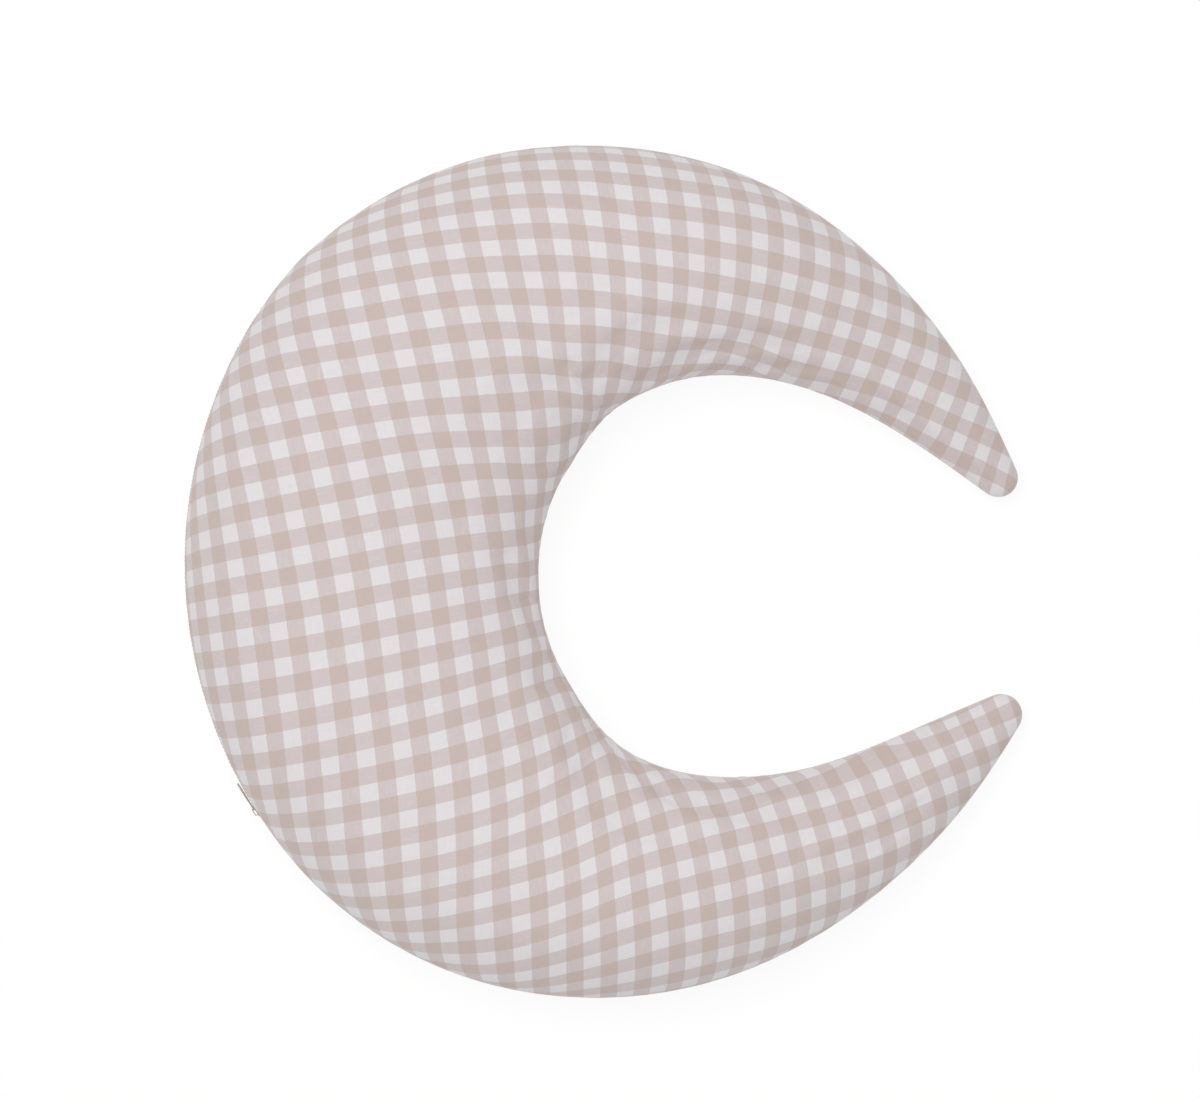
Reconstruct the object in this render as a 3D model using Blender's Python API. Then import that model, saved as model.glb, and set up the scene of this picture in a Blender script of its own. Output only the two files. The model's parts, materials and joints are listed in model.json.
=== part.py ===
"""Crescent nursing pillow: a removable two-panel cover with a coil zip, over a sewn inner case of fibre.

Every soft layer is one nested surface of the same crescent. The crescent, seen from above, is the area
swept by a circle that runs along a spine from tip to tip while its radius changes, so a layer that lies
a distance further in is the same sweep with a radius that much smaller.
Lengths are written in millimetres and become metres when a mesh is made. +Z is up, the pillow lies on
z = 0, and the origin is the middle of its footprint's bounding box.
"""

import math

import bmesh
import bpy
import numpy as np

MM = 0.001

# Overall sizes
SPAN = 600.0  # along Y, across both horns
CROWN = 86.0  # height above its seam at which a section, however wide, stops growing
CROWN_KNEE = 6.0  # how sharply it stops
SEAM_HEIGHT = 74.0  # height of the seam above the floor round the body
BELOW_SEAM_SHARE = 1.0  # depth below the seam, before the floor flattens it, over the height above
TIP_LIFT = 16.0  # how far the horns' tips stand off the floor
SEAM_FALLS_FROM = 100.0  # the half width below which the seam follows the horn down to the floor
SEAM_FALLEN_AT = 60.0

# Spine stations (x, y, radius), for a span of 600, from the upper tip round the body to the lower tip.
# A radius of None is the one that touches the outer arc, where the zip is sewn.
DRAWN_SPAN = 600.0
OUTER_ARC_CENTRE = (32.0, 6.0)
OUTER_ARC_RADIUS = 328.0
SPINE = [
    (282.5, 67.0, 14.0),
    (227.5, 128.0, 34.0),
    (165.0, 176.5, 51.0),
    (85.0, 209.0, 70.5),
    (-10.0, 209.0, 91.5),
    (-75.0, 184.5, 107.0),
    (-128.0, 136.0, None),
    (-161.0, 71.0, None),
    (-171.0, -1.5, None),
    (-159.0, -73.5, None),
    (-124.0, -137.0, None),
    (-73.5, -185.5, 103.0),
    (-10.0, -212.5, 88.0),
    (85.0, -214.0, 68.5),
    (167.5, -185.5, 50.0),
    (237.5, -140.5, 32.0),
    (284.5, -103.0, 15.0),
]

# Cloth, seams and the gaps that keep neighbouring layers apart
COVER_CLOTH = 0.8
CASE_CLOTH = 0.5
COVER_ALLOWANCE = 6.0  # overlocked seam allowance inside the cover
CASE_ALLOWANCE = 3.5
GAP = 0.3
SLOPE_GAP = 0.6  # between layers that lie on each other where the horns slope
THREAD = 0.6
CLOSING_LENGTH = 120.0  # the hand-closed stretch of the inner case, on its inner curve

# Coil zip, about the outer arc's middle; angles in degrees from the -X direction
ZIP_HALF_ANGLE = 38.5
ZIP_STEPS = 14  # facets along it
SLOT_HALF = 4.0  # half the height of the cover's opening along the zip
TAPE_REACH = 13.0  # how far a tape reaches above or below the zip's middle
TAPE_CLOTH = 0.5
TAPE_DEPTH = 3.0  # the tape's face, in from the outer arc, beside the coils
CHANNEL_HALF = 0.6  # half the gap between the two coils, where the slider's post runs
COIL_WIDTH = 1.5
COIL_DEPTH = 1.85
STITCH_FROM_SLOT = 6.0
STITCH_RISE = 0.5
STOP_LENGTH = 2.2
STOP_RISE = 0.8  # how far the stops stand proud of the coils, to hold the slider

# Slider and pull
SLIDER_LENGTH = 9.0
SLIDER_SIDE_CLEARANCE = 0.5  # to the edges of the cover's opening
SLIDER_FRONT_CLEARANCE = 0.4  # to the coils' faces
SLIDER_BACK_CLEARANCE = 0.8  # to the tapes' backs
PLATE = 1.0
RAIL = 0.9
POST_LENGTH = 2.0
CROWN_BAR = 0.7
CROWN_WIDTH = 1.1
CROWN_LENGTH = 6.4
PIN = 0.9
PULL_LENGTH = 22.0
PULL_WIDTH = 5.2
PULL_THICKNESS = 1.0
PULL_ARM = 0.8

# Care label, sewn in the outer seam below the zip's closed end
LABEL_WIDTH = 24.0
LABEL_LENGTH = 38.0
LABEL_CLOTH = 0.4
LABEL_FROM_ZIP = 14.0
LABEL_FLARE = 1.6  # how far its free end stands off the cover

# How finely the surfaces are faceted
HORN_STATIONS = 11
CAP_RINGS = 2
COVER_SECTION = [0, 9, 22, 40, 64, 90, 116, 140, 158, 171, 180]
INNER_SECTION = [0, 9, 40, 90, 140, 171, 180]

SCALE = SPAN / DRAWN_SPAN


def clear_scene():
    for item in list(bpy.data.objects):
        bpy.data.objects.remove(item)


def material(name, colour, roughness, metallic=0.0):
    made = bpy.data.materials.new(name)
    made.use_nodes = True
    shader = made.node_tree.nodes["Principled BSDF"]
    shader.inputs["Base Color"].default_value = (*colour, 1.0)
    shader.inputs["Roughness"].default_value = roughness
    shader.inputs["Metallic"].default_value = metallic
    return made


def natural_spline(knots, values):
    """A function that runs smoothly through values at knots, with continuous curvature."""
    n = len(knots)
    step = np.diff(knots)
    system = np.eye(n)
    right = np.zeros((n, values.shape[1]))
    for i in range(1, n - 1):
        system[i, i - 1 : i + 2] = step[i - 1], 2 * (step[i - 1] + step[i]), step[i]
        rise_after = (values[i + 1] - values[i]) / step[i]
        rise_before = (values[i] - values[i - 1]) / step[i - 1]
        right[i] = 6 * (rise_after - rise_before)
    bend = np.linalg.solve(system, right)

    def at(where):
        i = int(np.clip(np.searchsorted(knots, where) - 1, 0, n - 2))
        left, width = where - knots[i], step[i]
        rest = width - left
        line = (values[i] * rest + values[i + 1] * left) / width
        low = bend[i] * (rest**3 / width - rest * width) / 6
        high = bend[i + 1] * (left**3 / width - left * width) / 6
        return line + low + high

    return at


class Plan:
    """The crescent seen from above, centred on its bounding box."""

    def __init__(self):
        self.arc_middle = np.array(OUTER_ARC_CENTRE) * SCALE
        self.arc_radius = OUTER_ARC_RADIUS * SCALE
        rows = np.array([self.row(*station) for station in SPINE])
        knots = np.concatenate([[0], np.cumsum(np.hypot(*np.diff(rows[:, :2], axis=0).T))])
        self.length = knots[-1]
        self.along_spine = natural_spline(knots, rows)
        on_arc = [knot for knot, station in zip(knots, SPINE) if station[2] is None]
        self.arc_span = on_arc[0], on_arc[-1]
        self.shift = np.zeros(2)
        self.stations = self.station_places()
        corners = np.array([p for ring in self.rings(0) for p in ring[:2]])
        self.shift = -(corners.max(axis=0) + corners.min(axis=0)) / 2
        self.arc_centre = self.arc_middle + self.shift

    def row(self, x, y, radius):
        point = np.array([x, y]) * SCALE
        if radius is None:
            return (*point, self.arc_radius - np.hypot(*(point - self.arc_middle)))
        return (*point, radius * SCALE)

    def at(self, place):
        """(x, y, radius) at a place along the spine; round the zip the circle touches the outer arc."""
        value = self.along_spine(place)
        if self.arc_span[0] < place < self.arc_span[1]:
            value[2] = self.arc_radius - np.hypot(*(value[:2] - self.arc_middle))
        return value

    def angle(self, place):
        """The angle of a place on the spine about the outer arc's centre, from -X, growing downwards."""
        x, y = self.at(place)[:2] - self.arc_middle
        return math.degrees(math.atan2(-y, -x))

    def place_at_angle(self, wanted):
        low, high = 0.25 * self.length, 0.75 * self.length
        for _ in range(50):
            middle = (low + high) / 2
            low, high = (middle, high) if self.angle(middle) < wanted else (low, middle)
        return (low + high) / 2

    def station_places(self):
        """Places along the spine: the zip's at even angles, and the horns' evenly along their backs."""
        self.zip_angles = np.linspace(-ZIP_HALF_ANGLE, ZIP_HALF_ANGLE, ZIP_STEPS + 1)
        zip_places = [self.place_at_angle(a) for a in self.zip_angles]
        upper = self.even_places(0, zip_places[0])[:-1]
        lower = self.even_places(zip_places[-1], self.length)[1:]
        first = CAP_RINGS + 1 + len(upper)
        self.zip_rings = list(range(first, first + ZIP_STEPS + 1))
        return [*upper, *zip_places, *lower]

    def even_places(self, start, stop):
        samples = np.linspace(start, stop, 80)
        backs = np.array([self.chord(*self.heading(s), 0, 1.0)[0] for s in samples])
        walked = np.concatenate([[0], np.cumsum(np.hypot(*np.diff(backs, axis=0).T))])
        return np.interp(np.linspace(0, walked[-1], HORN_STATIONS + 1), walked, samples)

    def heading(self, place):
        """The spine's value at a place, its direction there, and the rate at which the radius shrinks."""
        probe = 0.5
        before, after = self.at(max(place - probe, 0)), self.at(min(place + probe, self.length))
        run = np.hypot(*(after - before)[:2])
        return self.at(place), (after - before)[:2] / run, -(after - before)[2] / run

    def rings(self, inset):
        """(outer end, inner end, radius, share) of each cross-section, tip to tip, at a distance inside
        the outline. share is 1 along the spine and falls to 0 at the end of a tip's round cap."""
        made = [self.chord(*self.heading(place), inset, 1.0) for place in self.stations]
        for index, side in ((0, -1), (-1, 1)):
            value, along, lean = self.heading(self.stations[index])
            steep = math.asin(abs(lean))
            cap = []
            for k in range(1, CAP_RINGS + 1):
                turn = steep + (math.pi / 2 - steep) * k / (CAP_RINGS + 0.35)
                share = math.cos(turn) / math.cos(steep)
                cap.append(self.chord(value, along, side * math.sin(turn), inset, share))
            pole = value[:2] + self.shift + along * side * (value[2] - inset)
            cap.append((pole, pole, value[2], 0.0))
            made = cap[::-1] + made if side < 0 else made + cap
        return made

    def chord(self, value, along, lean, inset, share):
        """The section of the swept circle whose ends touch the crescent's two edges."""
        outward = np.array([along[1], -along[0]])
        reach = (value[2] - inset) * math.sqrt(max(0.0, 1 - lean * lean)) * outward
        middle = value[:2] + self.shift + (value[2] - inset) * lean * along
        return middle + reach, middle - reach, value[2], share

    def outline(self, inset):
        """The closed edge of the crescent: outer ends tip to tip, then inner ends back."""
        rings = self.rings(inset)
        outer = [(r[0], r[2]) for r in rings]
        inner = [(r[1], r[2]) for r in rings[-2:0:-1]]
        return outer + inner

    def arc_point(self, angle, inset, rise):
        """A point on the zip's arc: angle from -X growing downwards, inset from the arc, rise above."""
        turn = math.radians(angle)
        reach = self.arc_radius - inset
        x = self.arc_centre[0] - reach * math.cos(turn)
        y = self.arc_centre[1] - reach * math.sin(turn)
        return (x, y, SEAM_HEIGHT + rise)


def crown_height(radius):
    """Height above the seam of a section of this half width: round where thin, flatter where wide."""
    width = radius / SCALE
    return width / (1 + (width / CROWN) ** CROWN_KNEE) ** (1 / CROWN_KNEE)


def seam_height(radius):
    """The seam's height: level round the body, then low enough for the horns to lie near the floor."""
    width = radius / SCALE
    share = min(max((width - SEAM_FALLEN_AT) / (SEAM_FALLS_FROM - SEAM_FALLEN_AT), 0.0), 1.0)
    level = share * share * (3 - 2 * share)
    lift = TIP_LIFT * (1 - min(width / SEAM_FALLS_FROM, 1.0)) ** 2
    low = crown_height(radius) * BELOW_SEAM_SHARE + lift
    return SEAM_HEIGHT * level + low * (1 - level)


def dome(side, inset, sink, edges, section):
    """Rows of points over one half of a layer: above the seam where side is 1, and below it where -1.
    sink is how far its crown lies inside the outermost layer's, edges holds each edge point's rise from
    the seam, and section the angles round the half at which its points lie."""
    rows = []
    rings = PLAN.rings(inset)
    for index, (outer, inner, radius, share) in enumerate(rings):
        middle, reach = (outer + inner) / 2, (outer - inner) / 2
        seam = seam_height(radius)
        height = crown_height(radius) * (1.0 if side > 0 else BELOW_SEAM_SHARE) - sink
        row = []
        for degrees in section:
            turn = math.radians(degrees)
            blend = (1 + math.cos(turn)) / 2
            start = edges[index][0] * blend + edges[index][1] * (1 - blend)
            rise = start + (height * share - start) * math.sin(turn)
            if share == 0.0:
                rise = start
            z = max(seam + side * rise, sink)
            row.append((*(middle + reach * math.cos(turn)), z))
        rows.append([row[0]] if share == 0.0 else row)
    return rows


class MeshMaker:
    """Collects faces by their corners' places, so that faces which share a corner are joined."""

    def __init__(self):
        self.points = {}
        self.faces = []

    def corner(self, point):
        key = tuple(round(float(c), 5) for c in point)
        return self.points.setdefault(key, len(self.points))

    def face(self, *points):
        corners = []
        for point in points:
            corner = self.corner(point)
            if corner not in corners:
                corners.append(corner)
        if len(corners) > 2:
            self.faces.append(corners)

    def band(self, first, second, closed=False):
        """Faces between two rows of equally many points."""
        count = len(first)
        for i in range(count if closed else count - 1):
            j = (i + 1) % count
            self.face(first[i], first[j], second[j], second[i])

    def grid(self, rows):
        """Faces over rows of points; a row of one point is the end where the others meet."""
        for first, second in zip(rows, rows[1:]):
            wide = max(len(first), len(second))
            self.band(first * (wide // len(first)), second * (wide // len(second)))

    def object(self, name, finish, smooth=True):
        mesh = bpy.data.meshes.new(name)
        mesh.from_pydata([tuple(c * MM for c in p) for p in self.points], [], self.faces)
        work = bmesh.new()
        work.from_mesh(mesh)
        bmesh.ops.recalc_face_normals(work, faces=work.faces)
        work.to_mesh(mesh)
        work.free()
        if smooth:
            mesh.shade_smooth()
            mesh.set_sharp_from_angle(angle=math.radians(40))
        mesh.materials.append(finish)
        made = bpy.data.objects.new(name, mesh)
        bpy.context.scene.collection.objects.link(made)
        return made


def edge_of(rows):
    """The closed edge of a dome: first column, last tip, last column back, first tip."""
    return [row[0] for row in rows] + [row[-1] for row in rows[-2:0:-1]]


def edge_rises(open_for_zip):
    """How far each ring's outer and inner edge stand from the seam: half a gap, and the zip's slot."""
    rises = []
    for index in range(len(PLAN.stations) + 2 * CAP_RINGS + 2):
        in_zip = open_for_zip and index in PLAN.zip_rings[1:-1]
        rises.append((SLOT_HALF if in_zip else GAP / 2, GAP / 2))
    return rises


def panel_faces(side, inset, sink, cloth, open_for_zip, section):
    """Rows of points over a panel's outside, and over its inside."""
    rises = edge_rises(open_for_zip)
    lifted = [(outer + cloth, inner + cloth) for outer, inner in rises]
    outside = dome(side, inset, sink, rises, section)
    return outside, dome(side, inset + cloth, sink + cloth, lifted, section)


def cover_wall(side, rise, face, rings):
    """How far inside the zip's arc a cover panel lies at a rise, at each ring: face 0 outside, 1 inside."""
    rows = panel_faces(side, 0.0, 0.0, COVER_CLOTH, True, COVER_SECTION)[face]
    found = []
    for index in rings:
        row = np.array(rows[index][: len(COVER_SECTION) // 2 + 1])
        reach = np.hypot(*(row[:, :2] - PLAN.arc_centre).T)
        found.append(PLAN.arc_radius - np.interp(rise, side * (row[:, 2] - SEAM_HEIGHT), reach))
    return found


def panel(name, side, inset, sink, cloth, allowance, open_for_zip, section, finish):
    """One cloth panel: a thin dome whose edge turns inwards as a flat seam allowance."""
    rises = edge_rises(open_for_zip)
    outside, inside = panel_faces(side, inset, sink, cloth, open_for_zip, section)
    zip_free = [rise[0] <= GAP for rise in rises]
    zip_free += [True] * (len(rises) - 2)
    wide = PLAN.outline(inset + allowance)
    narrow = PLAN.outline(inset + cloth + GAP)
    inner_edge = [w[0] if free else n[0] for w, n, free in zip(wide, narrow, zip_free)]
    lower = [(*p, q[2]) for p, q in zip(inner_edge, edge_of(outside))]
    upper = [(*p, q[2]) for p, q in zip(inner_edge, edge_of(inside))]
    maker = MeshMaker()
    maker.grid(outside)
    maker.band(edge_of(outside), lower, closed=True)
    maker.band(lower, upper, closed=True)
    maker.band(upper, edge_of(inside), closed=True)
    maker.grid(inside)
    return maker.object(name, finish)


def filling(name, inset, sink, finish):
    """The fibre: one closed body whose upper and lower halves meet at the seam's height."""
    level = [(0.0, 0.0)] * (len(PLAN.stations) + 2 * CAP_RINGS + 2)
    maker = MeshMaker()
    maker.grid(dome(1, inset, sink, level, INNER_SECTION))
    maker.grid(dome(-1, inset, sink, level, INNER_SECTION))
    return maker.object(name, finish)


def swept(name, sections, finish):
    """A solid through a list of closed sections, with flat ends."""
    maker = MeshMaker()
    for first, second in zip(sections, sections[1:]):
        maker.band(first, second, closed=True)
    maker.face(*sections[0])
    maker.face(*sections[-1])
    return maker.object(name, finish)


def seam_thread(name, inset, rise, start, stop, finish):
    """A thread lying on a seam allowance, along the outline's points from start to stop."""
    half = THREAD / 2
    near, far = PLAN.outline(inset - half), PLAN.outline(inset + half)
    count = len(near)
    sections = []
    for step in range(start, stop + 1):
        (a, radius), (b, _) = near[step % count], far[step % count]
        z = seam_height(radius) + rise
        sections.append([(*a, z - half), (*b, z - half), (*b, z + half), (*a, z + half)])
    return swept(name, sections, finish)


def zip_strip(name, section, finish, overrun=0.0):
    """A strip of the zip, given its section as (inset, rise) corners, along the cover's opening and
    a share of a step past each of its ends."""
    angles = list(PLAN.zip_angles)[1:-1]
    if overrun:
        past = overrun * (angles[1] - angles[0])
        angles = [angles[0] - past, *angles, angles[-1] + past]
    sections = [[PLAN.arc_point(a, inset, rise) for inset, rise in section] for a in angles]
    return swept(name, sections, finish)


def zip_block(name, angle, length, inset_range, rise_range, finish):
    """A small block of the zip, square to the arc at an angle."""
    (near, far), (low, high) = inset_range, rise_range
    half = math.degrees(length / 2 / PLAN.arc_radius)
    corners = [(near, low), (far, low), (far, high), (near, high)]
    ends = [[PLAN.arc_point(a, i, r) for i, r in corners] for a in (angle - half, angle + half)]
    return swept(name, ends, finish)


def box(size, centre):
    """A box in the slider's own frame: x along the zip, y outwards, z up."""
    mesh = bpy.data.meshes.new("box")
    work = bmesh.new()
    bmesh.ops.create_cube(work, size=1.0)
    bmesh.ops.scale(work, vec=[s * MM for s in size], verts=work.verts)
    bmesh.ops.translate(work, vec=[c * MM for c in centre], verts=work.verts)
    work.to_mesh(mesh)
    work.free()
    return mesh


def joined(name, meshes, finish, carrier, place):
    """The union of several overlapping meshes, at a place in its carrier's frame."""
    body = bpy.data.objects.new(name, meshes[0])
    bpy.context.scene.collection.objects.link(body)
    meshes[0].materials.append(finish)
    body.parent = carrier
    body.location = [c * MM for c in place]
    for index, mesh in enumerate(meshes[1:]):
        piece = bpy.data.objects.new(f"{name}_piece_{index}", mesh)
        bpy.context.scene.collection.objects.link(piece)
        piece.parent = body
        piece.hide_render = True
        piece.display_type = "WIRE"
        union = body.modifiers.new(f"join_{index}", "BOOLEAN")
        union.operation = "UNION"
        union.solver = "EXACT"
        union.object = piece
    return body


def cloth_layers(finishes):
    case_inset = max(COVER_ALLOWANCE, slider_back() + PLATE) + GAP
    case_sink = COVER_CLOTH + SLOPE_GAP
    fill_inset = case_inset + CASE_ALLOWANCE + GAP
    fill_sink = case_sink + CASE_CLOTH + SLOPE_GAP
    for side, word in ((1, "top"), (-1, "bottom")):
        panel(f"cover_{word}_panel", side, 0.0, 0.0, COVER_CLOTH, COVER_ALLOWANCE, True,
              COVER_SECTION, finishes["gingham"])
        panel(f"inner_case_{word}_panel", side, case_inset, case_sink, CASE_CLOTH, CASE_ALLOWANCE,
              False, INNER_SECTION, finishes["case"])
    filling("fibre_filling", fill_inset, fill_sink, finishes["fibre"])
    return case_inset


def threads(case_inset, finishes):
    total = len(PLAN.outline(0.0))
    rings = PLAN.zip_rings
    after_zip, before_zip = rings[-1] + 1, rings[0] - 1 + total
    on_cover = GAP / 2 + COVER_CLOTH + GAP + THREAD / 2
    middle = (COVER_CLOTH + COVER_ALLOWANCE) / 2
    for side, word in ((1, "upper"), (-1, "lower")):
        seam_thread(f"cover_seam_thread_{word}", middle, side * on_cover, after_zip, before_zip,
                    finishes["thread"])
    on_case = GAP / 2 + CASE_CLOTH + GAP + THREAD / 2
    middle = case_inset + (CASE_CLOTH + CASE_ALLOWANCE) / 2
    inner_middle = total - (rings[0] + rings[-1]) // 2
    ring_step = SCALE * 13.0
    half = round(CLOSING_LENGTH / 2 / ring_step)
    seam_thread("inner_case_closing_thread", middle, on_case, inner_middle - half, inner_middle + half,
                finishes["thread"])
    seam_thread("inner_case_seam_thread", middle, on_case, inner_middle + half + 1,
                inner_middle - half - 1 + total, finishes["thread"])


def zip_parts(finishes):
    coil_near = TAPE_DEPTH - GAP - COIL_DEPTH
    coil_far = TAPE_DEPTH - GAP
    coil_top = CHANNEL_HALF + COIL_WIDTH
    stop_depth = (coil_near - STOP_RISE, coil_far)
    stitch_rise = SLOT_HALF + STITCH_FROM_SLOT
    narrow = COVER_CLOTH + GAP
    for side, word in ((1, "upper"), (-1, "lower")):
        sewn = max(cover_wall(side, TAPE_REACH, 1, PLAN.zip_rings)) + GAP
        stitch_far = min(cover_wall(side, stitch_rise, 0, PLAN.zip_rings[1:-1])) - GAP
        overrun = (min(sewn, TAPE_DEPTH) - GAP - narrow) / (COVER_ALLOWANCE - narrow)
        tape = [
            (TAPE_DEPTH, CHANNEL_HALF),
            (TAPE_DEPTH + TAPE_CLOTH, CHANNEL_HALF),
            (sewn + TAPE_CLOTH, TAPE_REACH),
            (sewn, TAPE_REACH),
        ]
        coil = [
            (coil_near, CHANNEL_HALF),
            (coil_far, CHANNEL_HALF),
            (coil_far, coil_top),
            (coil_near, coil_top),
        ]
        stitching = [
            (stitch_far - STITCH_RISE, stitch_rise),
            (stitch_far, stitch_rise),
            (stitch_far, stitch_rise + THREAD),
            (stitch_far - STITCH_RISE, stitch_rise + THREAD),
        ]
        for part, section, finish, past_end in (
            ("tape", tape, "tape", overrun),
            ("coil", coil, "coil", 0.0),
            ("stitching", stitching, "thread", 0.0),
        ):
            turned = [(inset, side * rise) for inset, rise in section]
            zip_strip(f"zip_{part}_{word}", turned, finishes[finish], past_end)
        low, high = sorted((side * CHANNEL_HALF, side * coil_top))
        zip_block(f"zip_top_stop_{word}", coil_end(1), STOP_LENGTH, stop_depth, (low, high),
                  finishes["metal"])
    zip_block("zip_bottom_stop", coil_end(-1), STOP_LENGTH, stop_depth, (-coil_top, coil_top),
              finishes["metal"])
    return coil_near


def coil_end(side):
    """The angle of a stop's middle, just past the coils' end on the closed (1) or open (-1) side."""
    past = math.degrees((GAP + STOP_LENGTH / 2) / PLAN.arc_radius)
    return side * (PLAN.zip_angles[-2] + past)


def slider_angle():
    """Where the slider rests, closed: its end against the top stops."""
    return PLAN.zip_angles[-2] - math.degrees(SLIDER_LENGTH / 2 / PLAN.arc_radius)


def slider_back():
    """How far inside the arc the face of the slider's back plate lies."""
    return TAPE_DEPTH + TAPE_CLOTH + SLIDER_BACK_CLEARANCE


def slider_and_pull(coil_near, finishes):
    """Both in the slider's frame, whose axis empty stands at the centre of the zip's arc: x along the zip
    towards its open end, y outwards, z up, and y = 0 on the outer arc."""
    axis = bpy.data.objects.new("zip_slide_axis", None)
    bpy.context.scene.collection.objects.link(axis)
    axis.location = (PLAN.arc_centre[0] * MM, PLAN.arc_centre[1] * MM, SEAM_HEIGHT * MM)
    axis.rotation_euler = (0, 0, math.radians(slider_angle()) + math.pi / 2)
    width = 2 * (SLOT_HALF - SLIDER_SIDE_CLEARANCE)
    face = -(coil_near - SLIDER_FRONT_CLEARANCE)
    back = -slider_back()
    overlap = 0.3
    shy = 0.15  # keeps joined blocks' sides from lying in one plane
    plates = [
        box((SLIDER_LENGTH, PLATE, width), (0, face + PLATE / 2, 0)),
        box((SLIDER_LENGTH - shy, PLATE, width), (0, back - PLATE / 2, 0)),
    ]
    rail_end = -(TAPE_DEPTH - 2 * GAP)
    rails = [
        box((SLIDER_LENGTH - 3 * shy, face + overlap - rail_end, RAIL),
            (0, (face + overlap + rail_end) / 2, side * ((width - RAIL) / 2 - shy)))
        for side in (1, -1)
    ]
    post = box((POST_LENGTH, face - back + 2 * overlap, 2 * (CHANNEL_HALF - GAP)),
               (1.0 - (SLIDER_LENGTH - POST_LENGTH) / 2, (face + back) / 2, 0))
    plate_top = face + PLATE
    hollow = PIN + 2 * GAP
    leg = hollow + CROWN_BAR / 2 + overlap
    crown = [
        box((CROWN_BAR, leg, CROWN_WIDTH - shy),
            (side * ((CROWN_LENGTH - CROWN_BAR) / 2 - shy), plate_top - overlap + leg / 2, 0))
        for side in (1, -1)
    ]
    bar = box((CROWN_LENGTH, CROWN_BAR, CROWN_WIDTH), (0, plate_top + hollow + CROWN_BAR / 2, 0))
    joined("zip_slider", [*plates, *rails, post, *crown, bar], finishes["metal"], axis,
           (0, PLAN.arc_radius, 0))

    # The pull turns on its pin, in the open-end corner of the slider's crown.
    pin_x = CROWN_LENGTH / 2 - CROWN_BAR - shy - GAP - PIN / 2
    pin_y = plate_top + hollow / 2
    tab_start = math.hypot(CROWN_LENGTH / 2 - pin_x, hollow / 2 + CROWN_BAR) + GAP
    arm_middle = CROWN_WIDTH / 2 + GAP + PULL_ARM / 2
    arm_start = -(PIN / 2 + 0.05)
    arm_length = tab_start + 1.0 - arm_start
    pin = box((PIN, PIN, 2 * arm_middle), (0, 0, 0))
    arms = [
        box((arm_length, PIN + 0.1, PULL_ARM), (arm_start + arm_length / 2, 0, side * arm_middle))
        for side in (1, -1)
    ]
    neck_length = 3.0
    neck = box((neck_length, PULL_THICKNESS - shy, 2 * arm_middle + PULL_ARM + shy),
               (tab_start + neck_length / 2, 0, 0))
    tab_length = PULL_LENGTH - tab_start - neck_length + overlap
    tab = box((tab_length, PULL_THICKNESS + shy, PULL_WIDTH),
              (tab_start + neck_length - overlap + tab_length / 2, 0, 0))
    joined("zip_pull", [pin, *arms, neck, tab], finishes["metal"], axis,
           (pin_x, PLAN.arc_radius + pin_y, 0))


def care_label(finishes):
    """A label that hangs from the outer seam past the zip's closed end, along the lower panel's wall."""
    rows = dome(-1, 0.0, 0.0, edge_rises(True), COVER_SECTION)
    first, second = (np.array(rows[PLAN.zip_rings[-1] + k]) for k in (0, 1))
    span = np.hypot(*(second - first)[0, :2])
    away = first[0, :2] - PLAN.arc_centre
    away = np.array([*away / np.hypot(*away), 0.0])
    half = len(COVER_SECTION) // 2
    sections = []
    for distance in (LABEL_FROM_ZIP, LABEL_FROM_ZIP + LABEL_WIDTH):
        row = first + (second - first) * distance / span
        inside, outside = [], []
        for share in (0.0, 0.35, 0.7, 1.0):
            z = row[0, 2] - share * LABEL_LENGTH
            wall = np.array([np.interp(-z, -row[:half, 2], row[:half, axis]) for axis in range(3)])
            near = wall + away * (GAP + LABEL_FLARE * share)
            inside.append(near)
            outside.append(near + away * LABEL_CLOTH)
        sections.append(inside + outside[::-1])
    return swept("care_label", sections, finishes["label"])


def build():
    finishes = {
        "gingham": material("gingham_cotton", (0.66, 0.56, 0.53), 0.85),
        "case": material("white_liner", (0.86, 0.86, 0.85), 0.85),
        "fibre": material("hollow_fibre", (0.93, 0.93, 0.93), 0.95),
        "thread": material("sewing_thread", (0.70, 0.62, 0.59), 0.7),
        "tape": material("zip_tape", (0.62, 0.53, 0.50), 0.8),
        "coil": material("zip_coil", (0.60, 0.51, 0.48), 0.45),
        "metal": material("painted_zinc", (0.60, 0.51, 0.48), 0.35),
        "label": material("satin_label", (0.90, 0.90, 0.89), 0.5),
    }
    case_inset = cloth_layers(finishes)
    threads(case_inset, finishes)
    slider_and_pull(zip_parts(finishes), finishes)
    care_label(finishes)


clear_scene()
PLAN = Plan()
build()
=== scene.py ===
import math
from contextlib import contextmanager

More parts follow.
